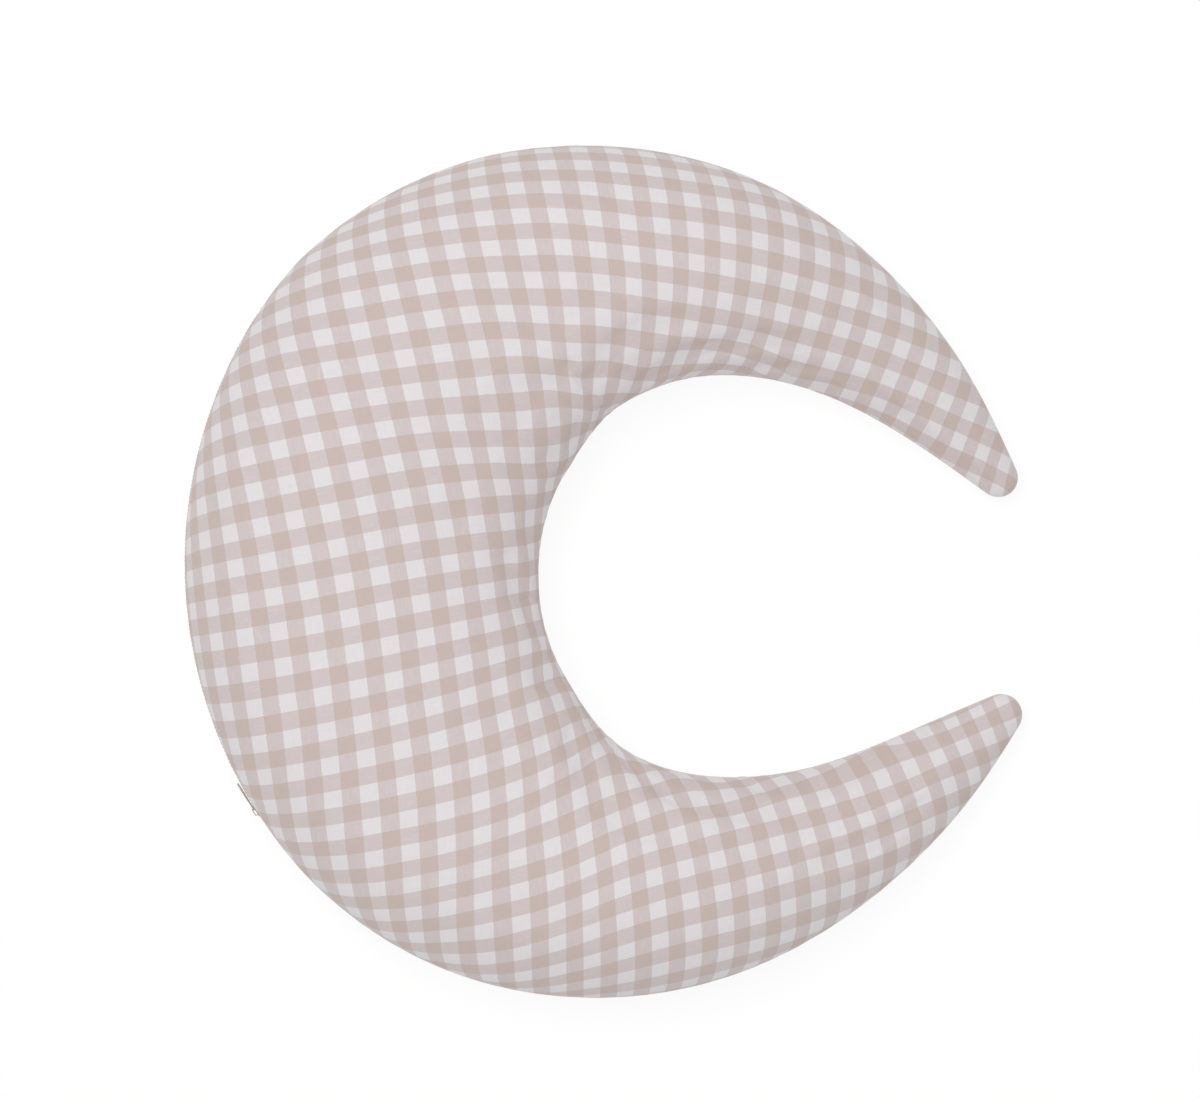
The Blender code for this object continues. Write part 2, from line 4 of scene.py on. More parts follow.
import bmesh
import bpy
import numpy as np
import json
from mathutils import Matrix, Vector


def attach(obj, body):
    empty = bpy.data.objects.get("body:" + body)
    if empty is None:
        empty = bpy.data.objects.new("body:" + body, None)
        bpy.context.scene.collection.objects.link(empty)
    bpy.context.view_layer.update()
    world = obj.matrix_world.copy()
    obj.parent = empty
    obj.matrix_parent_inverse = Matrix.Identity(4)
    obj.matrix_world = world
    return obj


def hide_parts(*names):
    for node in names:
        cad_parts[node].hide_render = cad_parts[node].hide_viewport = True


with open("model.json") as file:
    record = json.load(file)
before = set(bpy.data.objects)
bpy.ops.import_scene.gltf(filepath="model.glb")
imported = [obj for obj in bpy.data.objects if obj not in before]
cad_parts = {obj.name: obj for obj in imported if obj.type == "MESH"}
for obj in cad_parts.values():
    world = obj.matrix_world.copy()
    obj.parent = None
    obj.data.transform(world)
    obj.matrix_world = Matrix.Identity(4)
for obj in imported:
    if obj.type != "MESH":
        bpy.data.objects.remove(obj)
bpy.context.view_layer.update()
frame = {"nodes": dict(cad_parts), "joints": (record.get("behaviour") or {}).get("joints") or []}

# The looks of a crescent nursing pillow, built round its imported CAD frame. Every cloth layer is the area
# that a circle sweeps as it runs along a spine from tip to tip, domed above and below its seam.
# Lengths are in millimetres, in the frame's own axes, until mesh_object() turns them into metres.
MM = 0.001

# The crescent, as the CAD source states it
CROWN = 86.0
CROWN_KNEE = 6.0
SEAM_HEIGHT = 74.0
TIP_LIFT = 16.0
SEAM_FALLS_FROM = 100.0
SEAM_FALLEN_AT = 60.0
ARC_DRAWN_CENTRE = (32.0, 6.0)
ARC_RADIUS = 328.0
SPINE = [
    (282.5, 67.0, 14.0),
    (227.5, 128.0, 34.0),
    (165.0, 176.5, 51.0),
    (85.0, 209.0, 70.5),
    (-10.0, 209.0, 91.5),
    (-75.0, 184.5, 107.0),
    (-128.0, 136.0, None),
    (-161.0, 71.0, None),
    (-171.0, -1.5, None),
    (-159.0, -73.5, None),
    (-124.0, -137.0, None),
    (-73.5, -185.5, 103.0),
    (-10.0, -212.5, 88.0),
    (85.0, -214.0, 68.5),
    (167.5, -185.5, 50.0),
    (237.5, -140.5, 32.0),
    (284.5, -103.0, 15.0),
]
ZIP_OPEN_ANGLE = 33.0  # the cover's opening is full height up to here, from the zip's middle
ZIP_CLOSED_ANGLE = 38.5
SLOT_HALF = 4.0
TAPE_DEPTH = 3.0
CHANNEL_HALF = 0.6
BESIDE_ZIP_RADIUS = 95.0  # only the body's sections are this wide, so no horn counts as beside the zip
ZIP_EASE = 2.0  # the looks' opening is shut this many degrees before the CAD's
TAPE_OVERRUN = 2.6  # and each tape runs on this many degrees past it

COVER_CLOTH = 0.8
TAPE_CLOTH = 0.5
TAPE_REACH = 13.0
COIL_NEAR = 0.85
COIL_FAR = 2.7
COIL_TOP = 2.1
STOP_LENGTH = 2.2
STITCH_RISE = 10.2
SLIDER_LENGTH = 9.0
GAP = 0.3
LABEL_WIDTH = 24.0
LABEL_LENGTH = 38.0
LABEL_FROM_ZIP = 14.0
LABEL_PLY = 0.13
LABEL_PRESS = 0.9  # how deep the label lies in the lower panel
CASE_INSET = 6.3
CASE_SINK = 1.4
FILL_INSET = 10.1
FILL_SINK = 2.5

# The cover's seam: the cloth dips this far into it and turns inwards
SEAM_DIP = 1.3
DIP_COLUMNS = (0.0, 0.5, 1.3, 2.6)  # how far over the cloth from the seam its extra points lie
DIP_SHARES = (1.0, 0.55, 0.16)  # and how much of the dip the first three take
ALLOWANCE = 5.5
PLY_GAP = 0.2
FOLD_DEPTH = 0.9  # beside the zip the edge folds back this far in, and stands up behind the wall
HEM_TUCK = 1.6
HEM_HEIGHT = 6.0
HEM_CLOTH, FOLD_CLOTH, INNER_CLOTH = 7.0, 1.5, 5.0  # how far each of those turnings lies over the cloth
SLOT_EASING = 24.0  # the cloth this near the zip makes room for its opening

COIL_PITCH = 1.6
COIL_WIRE = 0.3
STITCH_PITCH = 3.0
STITCH_SIZE = 0.28
STITCH_LIFT = 0.16  # how far the thread's middle stands off the cloth

# How finely the cloth is made
BODY_RINGS = 301
CAP_RINGS = 7
LEAN_EASING = 14
COLUMNS = 64  # over one panel, from the outer seam to the inner one

# The cloth simulation of the cover
SIM_STEP = 2  # it runs on every second point
SIM_FRAMES = 20
SIM_FULLNESS = 0.045  # how much longer the cloth is cut along the inner curve
SIM_BLUR = (12, 6)  # what moves more broadly than this many rings and columns is taken off
SIM_CAP = 1.2  # and the wrinkles that are left stay lower than this
CLOTH = {
    "quality": 6,
    "mass": 0.15,
    "air_damping": 4.0,
    "tension_stiffness": 30.0,
    "compression_stiffness": 30.0,
    "shear_stiffness": 12.0,
    "bending_stiffness": 0.15,
    "vertex_group_mass": "held",
    "pin_stiffness": 1.0,
    "vertex_group_shrink": "full",
    "shrink_min": 0.0,
    "shrink_max": -SIM_FULLNESS,
    "use_pressure": True,
    "uniform_pressure_force": 3.0,
}

# How far the outline is drawn in at distances along the spine, on the outer side and on the inner side
DRAWN_IN = [
    (230, 0.0, 0.0), (298, 0.3, 1.0), (331, 0.3, 0.5), (397, 0.0, 0.0), (430, 1.4, 0.0), (463, 2.3, 1.2),
    (496, 0.3, 1.0), (520, 0.0, 0.2), (562, 0.0, 0.0), (611, 0.0, 0.6), (661, 0.0, -0.2), (694, 0.0, -0.7),
    (728, 0.0, -0.2), (761, 0.0, 1.3), (794, 0.6, 1.5), (827, 0.3, 0.6), (860, 0.0, 0.0), (1240, 0.0, 0.0),
]

# Gathers along each seam: their height, their spacing and how far they reach from it
INNER_PUCKERS = (0.45, 11.0, 20.0)
OUTER_PUCKERS = (0.22, 19.0, 16.0)

# Short folds in the upper panel: where each starts and ends in the frame's x and y, its depth and width
CREASES = [
    ((-26, 140), (-2, 112), 1.4, 3.6),
    ((28, 174), (38, 156), 0.8, 3.2),
    ((50, 170), (70, 150), 1.2, 3.4),
    ((98, 160), (108, 147), 0.9, 3.0),
    ((-74, -17), (-46, -20), 1.2, 3.4),
    ((-70, 24), (-48, 21), 0.7, 3.4),
    ((-54, -83), (-30, -75), 1.2, 3.4),
    ((-24, -144), (-6, -121), 1.4, 3.6),
    ((-10, -117), (14, -125), 0.8, 3.0),
    ((36, -158), (44, -138), 0.8, 3.4),
]

# The room, in metres, and the camera
FLOOR_CLEARANCE = 0.08  # of a millimetre, so that the underside and the floor don't share a plane
FLOOR_GREY = 0.12
FLOOR_GLOW = 0.875
SKY_LEVEL = 0.51
LAMP_PLACE = (-0.45, 0.55, 3.6)
LAMP_SIZE = 1.3
LAMP_WATTS = 61.0
CAMERA_PLACE = (-0.00494, 0.01577, 3.074)
CAMERA_LENS = 127.5

# Where the gingham's grain runs on a panel: distance along the spine, the check at the crown (across,
# along), how many checks pass per 100 mm outwards from it, and how far the checks bow, per square of 100
# mm, on the outer side and on the inner side. Whole numbers are the middles of white stripes.
GRAIN = [
    (37, (22.55, 6.15), (2.80, 4.55), (-3.4, -6.2), (3.9, 4.2)),
    (86, (20.45, 7.05), (1.80, 4.25), (-0.1, -3.3), (1.5, 0.4)),
    (134, (18.45, 7.80), (1.30, 4.40), (0.9, -1.9), (0.8, 1.2)),
    (183, (16.45, 8.45), (1.10, 4.65), (0.6, -1.8), (1.0, 1.8)),
    (231, (14.45, 8.85), (0.70, 4.45), (0.6, -0.8), (0.9, 0.5)),
    (280, (12.30, 9.00), (0.25, 4.40), (0.5, -0.2), (1.1, 0.5)),
    (329, (10.15, 8.80), (-0.25, 4.45), (0.3, -0.3), (0.7, 1.0)),
    (377, (8.15, 8.30), (-0.90, 4.05), (0.3, 0.0), (0.6, 0.6)),
    (426, (6.20, 7.60), (-1.65, 3.55), (0.2, 0.2), (0.5, 0.5)),
    (450, (5.15, 7.00), (-2.00, 3.30), (0.2, 0.2), (0.4, 0.4)),
    (474, (4.05, 6.25), (-2.35, 3.00), (0.2, 0.1), (0.3, 0.4)),
    (523, (2.25, 4.35), (-3.10, 2.45), (0.3, -0.1), (0.1, 0.4)),
    (571, (1.10, 2.55), (-3.55, 1.70), (0.1, -0.1), (0.1, 0.3)),
    (620, (0.40, 0.50), (-3.90, 0.95), (0.1, -0.1), (0.0, 0.2)),
    (669, (0.25, -1.70), (-4.00, 0.15), (0.2, -0.1), (0.0, 0.0)),
    (717, (0.65, -3.70), (-3.90, -0.75), (0.3, 0.0), (-0.1, -0.1)),
    (766, (1.55, -5.85), (-3.40, -1.55), (0.3, -0.1), (0.2, -0.3)),
    (814, (3.05, -8.00), (-2.90, -2.30), (0.3, -0.1), (0.2, -0.5)),
    (840, (4.00, -8.95), (-2.55, -2.75), (0.4, -0.1), (0.2, -0.7)),
    (863, (4.80, -9.60), (-2.25, -3.20), (0.5, 0.1), (0.2, -0.9)),
    (912, (6.70, -10.85), (-1.40, -3.80), (0.5, 0.1), (0.5, -0.5)),
    (960, (8.70, -11.55), (-0.70, -4.45), (0.6, 0.7), (0.5, -1.0)),
    (1009, (10.80, -11.75), (0.05, -4.50), (0.7, 0.8), (0.7, -0.6)),
    (1057, (12.90, -11.60), (0.70, -4.75), (0.5, 1.6), (1.2, -1.4)),
    (1106, (15.00, -11.15), (0.90, -4.85), (1.0, 2.2), (1.1, -2.5)),
    (1154, (17.10, -10.65), (1.05, -5.00), (1.3, 3.4), (1.2, -4.1)),
    (1203, (19.35, -10.00), (1.35, -4.50), (0.2, 4.0), (1.3, -0.6)),
]
LOWER_CUT = (0.37, 0.61)  # the lower panel is cut from another place of the cloth, so many checks away
YARNS_PER_CHECK = 56
SLUB_ALONG = 1.6  # how many slubs there are to a check, along a yarn and across the yarns
SLUB_ACROSS = 30.0

# Colours in sRGB levels
WHITE_CHECK = (231, 227, 228)
HALF_CHECK = (213, 201, 200)
FULL_CHECK = (205, 188, 181)

# The one-colour finishes: name, colour, the weave's pitch in metres, roughness, depth, sheen, twill or not
PLAIN_FINISHES = {
    "case": ("white_liner", (240, 239, 236), 0.0011, 0.88, 0.0001, 0.1, False),
    "fibre": ("hollow_fibre", (247, 247, 246), 0.009, 0.95, 0.001, 0.3, False),
    "thread": ("sewing_thread", (222, 207, 200), 0.0006, 0.6, 0.00004, 0.2, True),
    "tape": ("zip_tape", (196, 176, 168), 0.0007, 0.8, 0.00005, 0.1, True),
    "coil": ("zip_coil", (198, 178, 170), 0.004, 0.4, 0.00003, 0.0, False),
    "metal": ("painted_zinc", (192, 172, 163), 0.01, 0.33, 0.00002, 0.0, False),
    "label": ("satin_label", (244, 243, 240), 0.0005, 0.42, 0.00004, 0.3, False),
}


def joint_place(name):
    found = next(j for j in frame["joints"] if j["name"] == name)
    return np.array(found["pos_m"]) / MM


ARC_CENTRE = joint_place("zip_slide")[:2]
SHIFT = ARC_CENTRE - ARC_DRAWN_CENTRE


# ---- the crescent's surface


def natural_spline(knots, values):
    """A function that runs smoothly through values at knots, with continuous curvature."""
    knots = np.asarray(knots, float)
    values = np.asarray(values, float)
    n = len(knots)
    step = np.diff(knots)
    system = np.eye(n)
    right = np.zeros_like(values)
    for i in range(1, n - 1):
        system[i, i - 1 : i + 2] = step[i - 1], 2 * (step[i - 1] + step[i]), step[i]
        rise_after = (values[i + 1] - values[i]) / step[i]
        rise_before = (values[i] - values[i - 1]) / step[i - 1]
        right[i] = 6 * (rise_after - rise_before)
    bend = np.linalg.solve(system, right)

    def at(where):
        where = np.atleast_1d(np.asarray(where, float))
        i = np.clip(np.searchsorted(knots, where) - 1, 0, n - 2)
        width = step[i][:, None]
        left = where[:, None] - knots[i][:, None]
        rest = width - left
        line = (values[i] * rest + values[i + 1] * left) / width
        low = bend[i] * (rest**3 / width - rest * width) / 6
        high = bend[i + 1] * (left**3 / width - left * width) / 6
        return line + low + high

    return at


def smooth(x, low=0.0, high=1.0):
    """0 below low and 1 above high, with a soft step between."""
    t = np.clip((np.asarray(x, float) - low) / (high - low), 0.0, 1.0)
    return t * t * (3 - 2 * t)


def eased(values, reach):
    """A row of values with its corners rounded over this many neighbours each way."""
    weight = np.hanning(2 * reach + 3)[1:-1]
    padded = np.pad(values, reach, mode="reflect", reflect_type="odd")
    return np.convolve(padded, weight / weight.sum(), mode="valid")


def walked_along(points):
    """The distance walked to each point of a path in the plane."""
    return np.concatenate([[0], np.cumsum(np.hypot(*np.diff(points, axis=0).T))])


class Spine:
    """The line that the circles' centres follow, and their radius along it."""

    def __init__(self):
        rows = []
        for x, y, radius in SPINE:
            if radius is None:
                radius = ARC_RADIUS - math.hypot(x - ARC_DRAWN_CENTRE[0], y - ARC_DRAWN_CENTRE[1])
            rows.append((x, y, radius))
        rows = np.array(rows)
        knots = walked_along(rows[:, :2])
        self.length = knots[-1]
        self.curve = natural_spline(knots, rows)
        on_arc = [knot for knot, station in zip(knots, SPINE) if station[2] is None]
        self.arc_span = on_arc[0], on_arc[-1]

    def at(self, place):
        """(x, y, radius) at places; on the zip's stretch the circles touch the outer arc."""
        value = self.curve(place)
        inside = (place > self.arc_span[0]) & (place < self.arc_span[1])
        touch = ARC_RADIUS - np.hypot(*(value[:, :2] - ARC_DRAWN_CENTRE).T)
        value[inside, 2] = touch[inside]
        return value

    def heading(self, place):
        """(x, y, radius), the direction, and the rate at which the radius shrinks, at places."""
        before = self.at(np.maximum(place - 0.5, 0))
        after = self.at(np.minimum(place + 0.5, self.length))
        run = np.hypot(*(after - before)[:, :2].T)[:, None]
        return self.at(place), (after - before)[:, :2] / run, -(after - before)[:, 2] / run[:, 0]


def crown_height(radius):
    return radius / (1 + (radius / CROWN) ** CROWN_KNEE) ** (1 / CROWN_KNEE)


def seam_height(radius):
    level = smooth(radius, SEAM_FALLEN_AT, SEAM_FALLS_FROM)
    lift = TIP_LIFT * (1 - np.minimum(radius / SEAM_FALLS_FROM, 1.0)) ** 2
    return SEAM_HEIGHT * level + (crown_height(radius) + lift) * (1 - level)


class Rings:
    """The sections of the crescent, tip to tip, with round caps and a pole at each end."""

    def __init__(self, spine, body, cap):
        places = np.linspace(0, spine.length, body)
        value, along, lean = spine.heading(places)
        lean = eased(lean, LEAN_EASING)
        share = np.ones(body)
        for index, side in ((0, -1), (-1, 1)):
            steep = math.asin(abs(lean[index]))
            turn = steep + (math.pi / 2 - steep) * np.arange(1, cap + 2) / (cap + 1)
            wider = np.sin(turn) - abs(lean[index])
            extra = (
                np.repeat(value[index][None], cap + 1, 0),
                np.repeat(along[index][None], cap + 1, 0),
                side * np.sin(turn),
                places[index] + side * wider * value[index, 2],
                np.cos(turn) / math.cos(steep),
            )
            old = (value, along, lean, places, share)
            if side < 0:
                joined = [np.concatenate([e[::-1], o]) for e, o in zip(extra, old)]
            else:
                joined = [np.concatenate([o, e]) for e, o in zip(extra, old)]
            value, along, lean, places, share = joined
        share[[0, -1]] = 0.0
        self.value, self.along, self.lean, self.places, self.share = value, along, lean, places, share
        self.outward = np.stack([along[:, 1], -along[:, 0]], 1)
        self.radius = value[:, 2]
        self.seam = seam_height(self.radius)
        self.count = len(places)

    def thinned(self, step):
        """The same sections, every so many."""
        made = Rings.__new__(Rings)
        for name, value in vars(self).items():
            setattr(made, name, value if name == "count" else value[::step])
        made.count = len(made.places)
        return made

    def edges(self, inset):
        """The outer and inner ends of each section, a distance inside the outline."""
        size = (self.radius - inset)[:, None]
        reach = size * np.sqrt(np.maximum(0.0, 1 - self.lean[:, None] ** 2)) * self.outward
        middle = self.value[:, :2] + SHIFT + size * self.lean[:, None] * self.along
        return middle, reach

    def shell(self, columns, inset=0.0, sink=0.0):
        """Points (ring, column, xyz) round each section: the upper half from the outer seam to the inner
        one, then the lower half back; and each point's distance over the cloth outwards from the crown."""
        middle, reach = self.edges(inset)
        wide = np.hypot(*reach.T)
        height = np.maximum(crown_height(self.radius) - sink, 0.5) * self.share
        fine = np.linspace(0, np.pi, 361)
        x = wide[:, None] * np.cos(fine)
        z = height[:, None] * np.sin(fine)
        walked = np.concatenate(
            [np.zeros((self.count, 1)), np.cumsum(np.hypot(np.diff(x), np.diff(z)), axis=1)], axis=1
        )
        even = np.linspace(0, 1, columns + 1)
        turn = np.array([
            np.interp(even * max(w[-1], 1e-6), w, fine) if w[-1] > 1e-6 else even * np.pi for w in walked
        ])
        across = walked[:, 180:181] - even * walked[:, -1:]
        upper = self.half(middle, reach, height, turn, 1, sink)
        lower = self.half(middle, reach, height, turn, -1, sink)
        points = np.concatenate([upper, lower[:, -2:0:-1]], axis=1)
        return points, across

    def half(self, middle, reach, height, turn, side, sink):
        flat = middle[:, None, :] + reach[:, None, :] * np.cos(turn)[:, :, None]
        z = self.seam[:, None] + side * height[:, None] * np.sin(turn)
        return np.concatenate([flat, np.maximum(z, sink)[:, :, None]], axis=2)


def check_places(rings, across):
    """Where each point of a panel lies on the flat gingham, in checks."""
    knots = [row[0] for row in GRAIN]
    facts = np.array([[*row[1], *row[2], *row[3], *row[4]] for row in GRAIN])
    found = natural_spline(knots, facts)(np.clip(rings.places, -20, rings.places[-1]))
    out = (across / 100)[:, :, None]
    bow = np.where(out > 0, found[:, None, 4:6], found[:, None, 6:8])
    return found[:, None, 0:2] + out * found[:, None, 2:4] + out**2 * bow


# ---- meshes


def placed(name, data):
    """An object in the scene."""
    made = bpy.data.objects.new(name, data)
    bpy.context.scene.collection.objects.link(made)
    return made


def mesh_object(name, points, faces, finish):
    """An object from points in millimetres."""
    mesh = bpy.data.meshes.new(name)
    mesh.from_pydata([tuple(p) for p in np.asarray(points, float) * MM], [], faces)
    mesh.validate()
    mesh.shade_smooth()
    mesh.materials.append(finish)
    return placed(name, mesh)


def write_vectors(mesh, name, values):
    layer = mesh.attributes.new(name, "FLOAT_VECTOR", "POINT")
    layer.data.foreach_set("vector", np.asarray(values, np.float32).ravel())


def grid_faces(rows, columns, closed=False, looped=False, flip=False, start=0):
    """Faces of a grid of points numbered row by row; closed joins the last column to the first, and
    looped the last row to the first."""
    faces = []
    for i in range(rows if looped else rows - 1):
        here, ahead = start + i * columns, start + (i + 1) % rows * columns
        for j in range(columns if closed else columns - 1):
            k = (j + 1) % columns
            face = (here + j, here + k, ahead + k, ahead + j)
            faces.append(face[::-1] if flip else face)
    return faces


def tube_faces(count, wide, start=0):
    """Faces of a tube of closed sections numbered one by one, with both ends filled."""
    last = start + (count - 1) * wide
    ends = [tuple(range(start, start + wide))[::-1], tuple(range(last, last + wide))]
    return grid_faces(count, wide, closed=True, start=start) + ends


@contextmanager
def edited(mesh):
    """A mesh open for editing, written back at the end."""
    work = bmesh.new()
    work.from_mesh(mesh)
    yield work
    work.to_mesh(mesh)
    work.free()


SPINE_LINE = Spine()
RINGS = Rings(SPINE_LINE, BODY_RINGS, CAP_RINGS)
HALF_RINGS = RINGS.thinned(2)


def vertex_normals(points):
    """Normals of a closed-in-columns grid (ring, column, xyz), outwards."""
    around = np.roll(points, -1, axis=1) - np.roll(points, 1, axis=1)
    along = np.empty_like(points)
    along[1:-1] = points[2:] - points[:-2]
    along[0] = points[1] - points[0]
    along[-1] = points[-1] - points[-2]
    normal = np.cross(along, around)
    size = np.linalg.norm(normal, axis=2, keepdims=True)
    return normal / np.maximum(size, 1e-9)


# ---- materials


class Nodes:
    """A material's node tree, with short ways to add and join nodes."""

    def __init__(self, name, roughness=0.8, metallic=0.0):
        self.material = bpy.data.materials.new(name)
        self.material.use_nodes = True
        self.tree = self.material.node_tree
        self.shader = self.tree.nodes["Principled BSDF"]
        self.set("Roughness", roughness)
        self.set("Metallic", metallic)

    def set(self, socket, value):
        self.shader.inputs[socket].default_value = value

    def link(self, source, target):
        self.tree.links.new(source, target)

    def feed(self, socket, source):
        self.link(source, self.shader.inputs[socket])

    def add(self, kind, **settings):
        node = self.tree.nodes.new("ShaderNode" + kind)
        for key, value in settings.items():
            setattr(node, key, value)
        return node

    def put(self, node, index, value):
        """Sets an input to a number, or joins it to another node's output."""
        if isinstance(value, bpy.types.NodeSocket):
            self.link(value, node.inputs[index])
        else:
            node.inputs[index].default_value = value

    def math(self, operation, *values):
        node = self.add("Math", operation=operation)
        for index, value in enumerate(values):
            self.put(node, index, value)
        return node.outputs[0]

    def times(self, first, second):
        return self.math("MULTIPLY", first, second)

    def plus(self, first, second):
        return self.math("ADD", first, second)

    def step(self, value, low, high):
        node = self.add("MapRange", interpolation_type="SMOOTHSTEP")
        for index, item in enumerate((value, low, high, 0.0, 1.0)):
            self.put(node, index, item)
        return node.outputs[0]

    def mix(self, share, first, second, blend="MIX"):
        node = self.add("Mix", data_type="RGBA", blend_type=blend)
        self.put(node, "Factor", share)
        for name, value in (("A", first), ("B", second)):
            socket = next(s for s in node.inputs if s.name == name and s.type == "RGBA")
            if isinstance(value, bpy.types.NodeSocket):
                self.link(value, socket)
            else:
                socket.default_value = (*value, 1.0)
        return next(s for s in node.outputs if s.type == "RGBA")

    def vector(self, x, y, z=0.0):
        node = self.add("CombineXYZ")
        for index, value in enumerate((x, y, z)):
            self.put(node, index, value)
        return node.outputs[0]

    def noise(self, vector, scale, detail=2.0, roughness=0.5):
        node = self.add("TexNoise")
        self.link(vector, node.inputs["Vector"])
        node.inputs["Scale"].default_value = scale
        node.inputs["Detail"].default_value = detail
        node.inputs["Roughness"].default_value = roughness
        return node.outputs["Fac"]

    def object_place(self):
        return self.add("TexCoord").outputs["Object"]

    def attribute(self, name):
        return self.add("Attribute", attribute_name=name).outputs["Vector"]

    def bump(self, height, distance, strength=1.0):
        node = self.add("Bump")
        self.put(node, "Height", height)
        node.inputs["Distance"].default_value = distance
        node.inputs["Strength"].default_value = strength
        self.feed("Normal", node.outputs[0])


def from_srgb(*levels):
    found = []
    for level in levels:
        share = level / 255
        found.append(share / 12.92 if share <= 0.04045 else ((share + 0.055) / 1.055) ** 2.4)
    return tuple(found)


def gingham():
    """Plain-weave cotton, dyed yarns in both directions; the cloth attribute counts checks."""
    n = Nodes("gingham_cotton", 0.88)
    place = n.attribute("cloth")
    parts = n.add("SeparateXYZ")
    n.link(place, parts.inputs[0])
    u, v = parts.outputs[0], parts.outputs[1]

    # Selvedge-straight stripes, their edges wandering by less than a yarn
    wander = n.times(n.math("SUBTRACT", n.noise(place, 9.0, 1.0), 0.5), 0.02)
    dark = []
    for count in (u, v):
        turn = n.math("PINGPONG", n.plus(count, n.plus(wander, 400.0)), 0.5)
        dark.append(n.step(turn, 0.242, 0.258))
    either = n.math("MAXIMUM", *dark)
    both = n.times(*dark)

    # Slubs: streaks along each set of yarns
    def streaks(per_u, per_v, layer):
        where = n.vector(n.times(u, per_u), n.times(v, per_v), layer)
        return n.noise(where, 1.0, 2.0, 0.65)

    along_u = streaks(SLUB_ALONG, SLUB_ACROSS, 0.0)
    along_v = streaks(SLUB_ACROSS, SLUB_ALONG, 7.0)
    u_yarn = n.times(n.math("SUBTRACT", along_u, 0.5), dark[1])
    v_yarn = n.times(n.math("SUBTRACT", along_v, 0.5), dark[0])
    streak = n.plus(u_yarn, v_yarn)
    half_share = n.plus(either, n.times(streak, 1.7))
    half = n.mix(n.math("MINIMUM", half_share, 1.3), from_srgb(*WHITE_CHECK), from_srgb(*HALF_CHECK))
    colour = n.mix(both, half, from_srgb(*FULL_CHECK))

    # Faint unevenness of dye and wash over the whole piece
    patch = n.noise(n.object_place(), 9.0, 3.0)
    tone = n.plus(0.985, n.times(patch, 0.03))
    slub = n.plus(n.times(along_u, 0.1), n.times(along_v, 0.1))
    level = n.plus(tone, n.math("SUBTRACT", slub, 0.1))
    grey = n.add("CombineColor")
    for index in range(3):
        n.link(level, grey.inputs[index])
    n.feed("Base Color", n.mix(1.0, colour, grey.outputs[0], "MULTIPLY"))

    # The weave, yarn over yarn
    turns = 2 * math.pi * YARNS_PER_CHECK / 2
    warp = n.math("SINE", n.times(u, turns))
    weft = n.math("SINE", n.times(v, turns))
    weave = n.times(n.times(warp, weft), 0.5)
    slubs = n.times(n.plus(along_u, along_v), 0.9)
    n.bump(n.plus(weave, slubs), 0.00012, 0.6)
    n.set("Sheen Weight", 0.12)
    n.set("Sheen Roughness", 0.5)
    n.set("Specular IOR Level", 0.25)
    return n.material


def plain_cloth(name, levels, pitch, roughness, depth, sheen, twill):
    """A one-colour weave, by object place."""
    n = Nodes(name, roughness)
    parts = n.add("SeparateXYZ")
    n.link(n.object_place(), parts.inputs[0])
    turns = 2 * math.pi / pitch
    if twill:
        slope = n.plus(n.plus(parts.outputs[0], parts.outputs[1]), parts.outputs[2])
        weave = n.math("SINE", n.times(slope, turns))
    else:
        lines = [n.math("SINE", n.times(part, turns)) for part in parts.outputs[:3]]
        weave = n.plus(n.times(lines[0], lines[1]), lines[2])
    patch = n.noise(n.object_place(), 60.0, 3.0)
    fine = n.noise(n.object_place(), 900.0, 2.0)
    level = n.plus(n.times(patch, 0.5), n.times(fine, 0.5))
    colour = from_srgb(*levels)
    dark = tuple(c * 0.9 for c in colour)
    light = tuple(min(1.0, c * 1.04) for c in colour)
    n.feed("Base Color", n.mix(level, dark, light))
    n.bump(n.plus(weave, fine), depth)
    n.set("Sheen Weight", sheen)
    n.set("Specular IOR Level", 0.25)
    return n.material


FINISHES = {}


def make_finishes():
    FINISHES["gingham"] = gingham()
    for key, facts in PLAIN_FINISHES.items():
        FINISHES[key] = plain_cloth(*facts)


# ---- the cover


def blurred(field, rings, columns):
    """A (ring, column, xyz) field averaged over this many neighbours each way."""
    for axis, reach in ((0, rings), (1, columns)):
        weight = np.hanning(2 * reach + 3)[1:-1]
        weight = weight / weight.sum()
        mode = "edge" if axis == 0 else "wrap"
        pads = [(0, 0)] * 3
        pads[axis] = (reach, reach)
        padded = np.pad(field, pads, mode=mode)
        field = sum(w * np.take(padded, range(k, k + field.shape[axis]), axis) for k, w in enumerate(weight))
    return field


def seam_distance(points):
    """How far each point is from the nearer seam, over the cloth."""
    steps = np.linalg.norm(np.roll(points, -1, axis=1) - points, axis=2)
    start = np.zeros((len(points), 1))
    upper = np.cumsum(np.concatenate([start, steps[:, :COLUMNS]], axis=1), axis=1)
    lower = np.cumsum(np.concatenate([start, steps[:, COLUMNS:]], axis=1), axis=1)
    from_outer = np.concatenate([upper, lower[:, -1:] - lower[:, 1:-1]], axis=1)
    from_inner = np.concatenate([upper[:, -1:] - upper, lower[:, 1:-1]], axis=1)
    return from_outer, from_inner


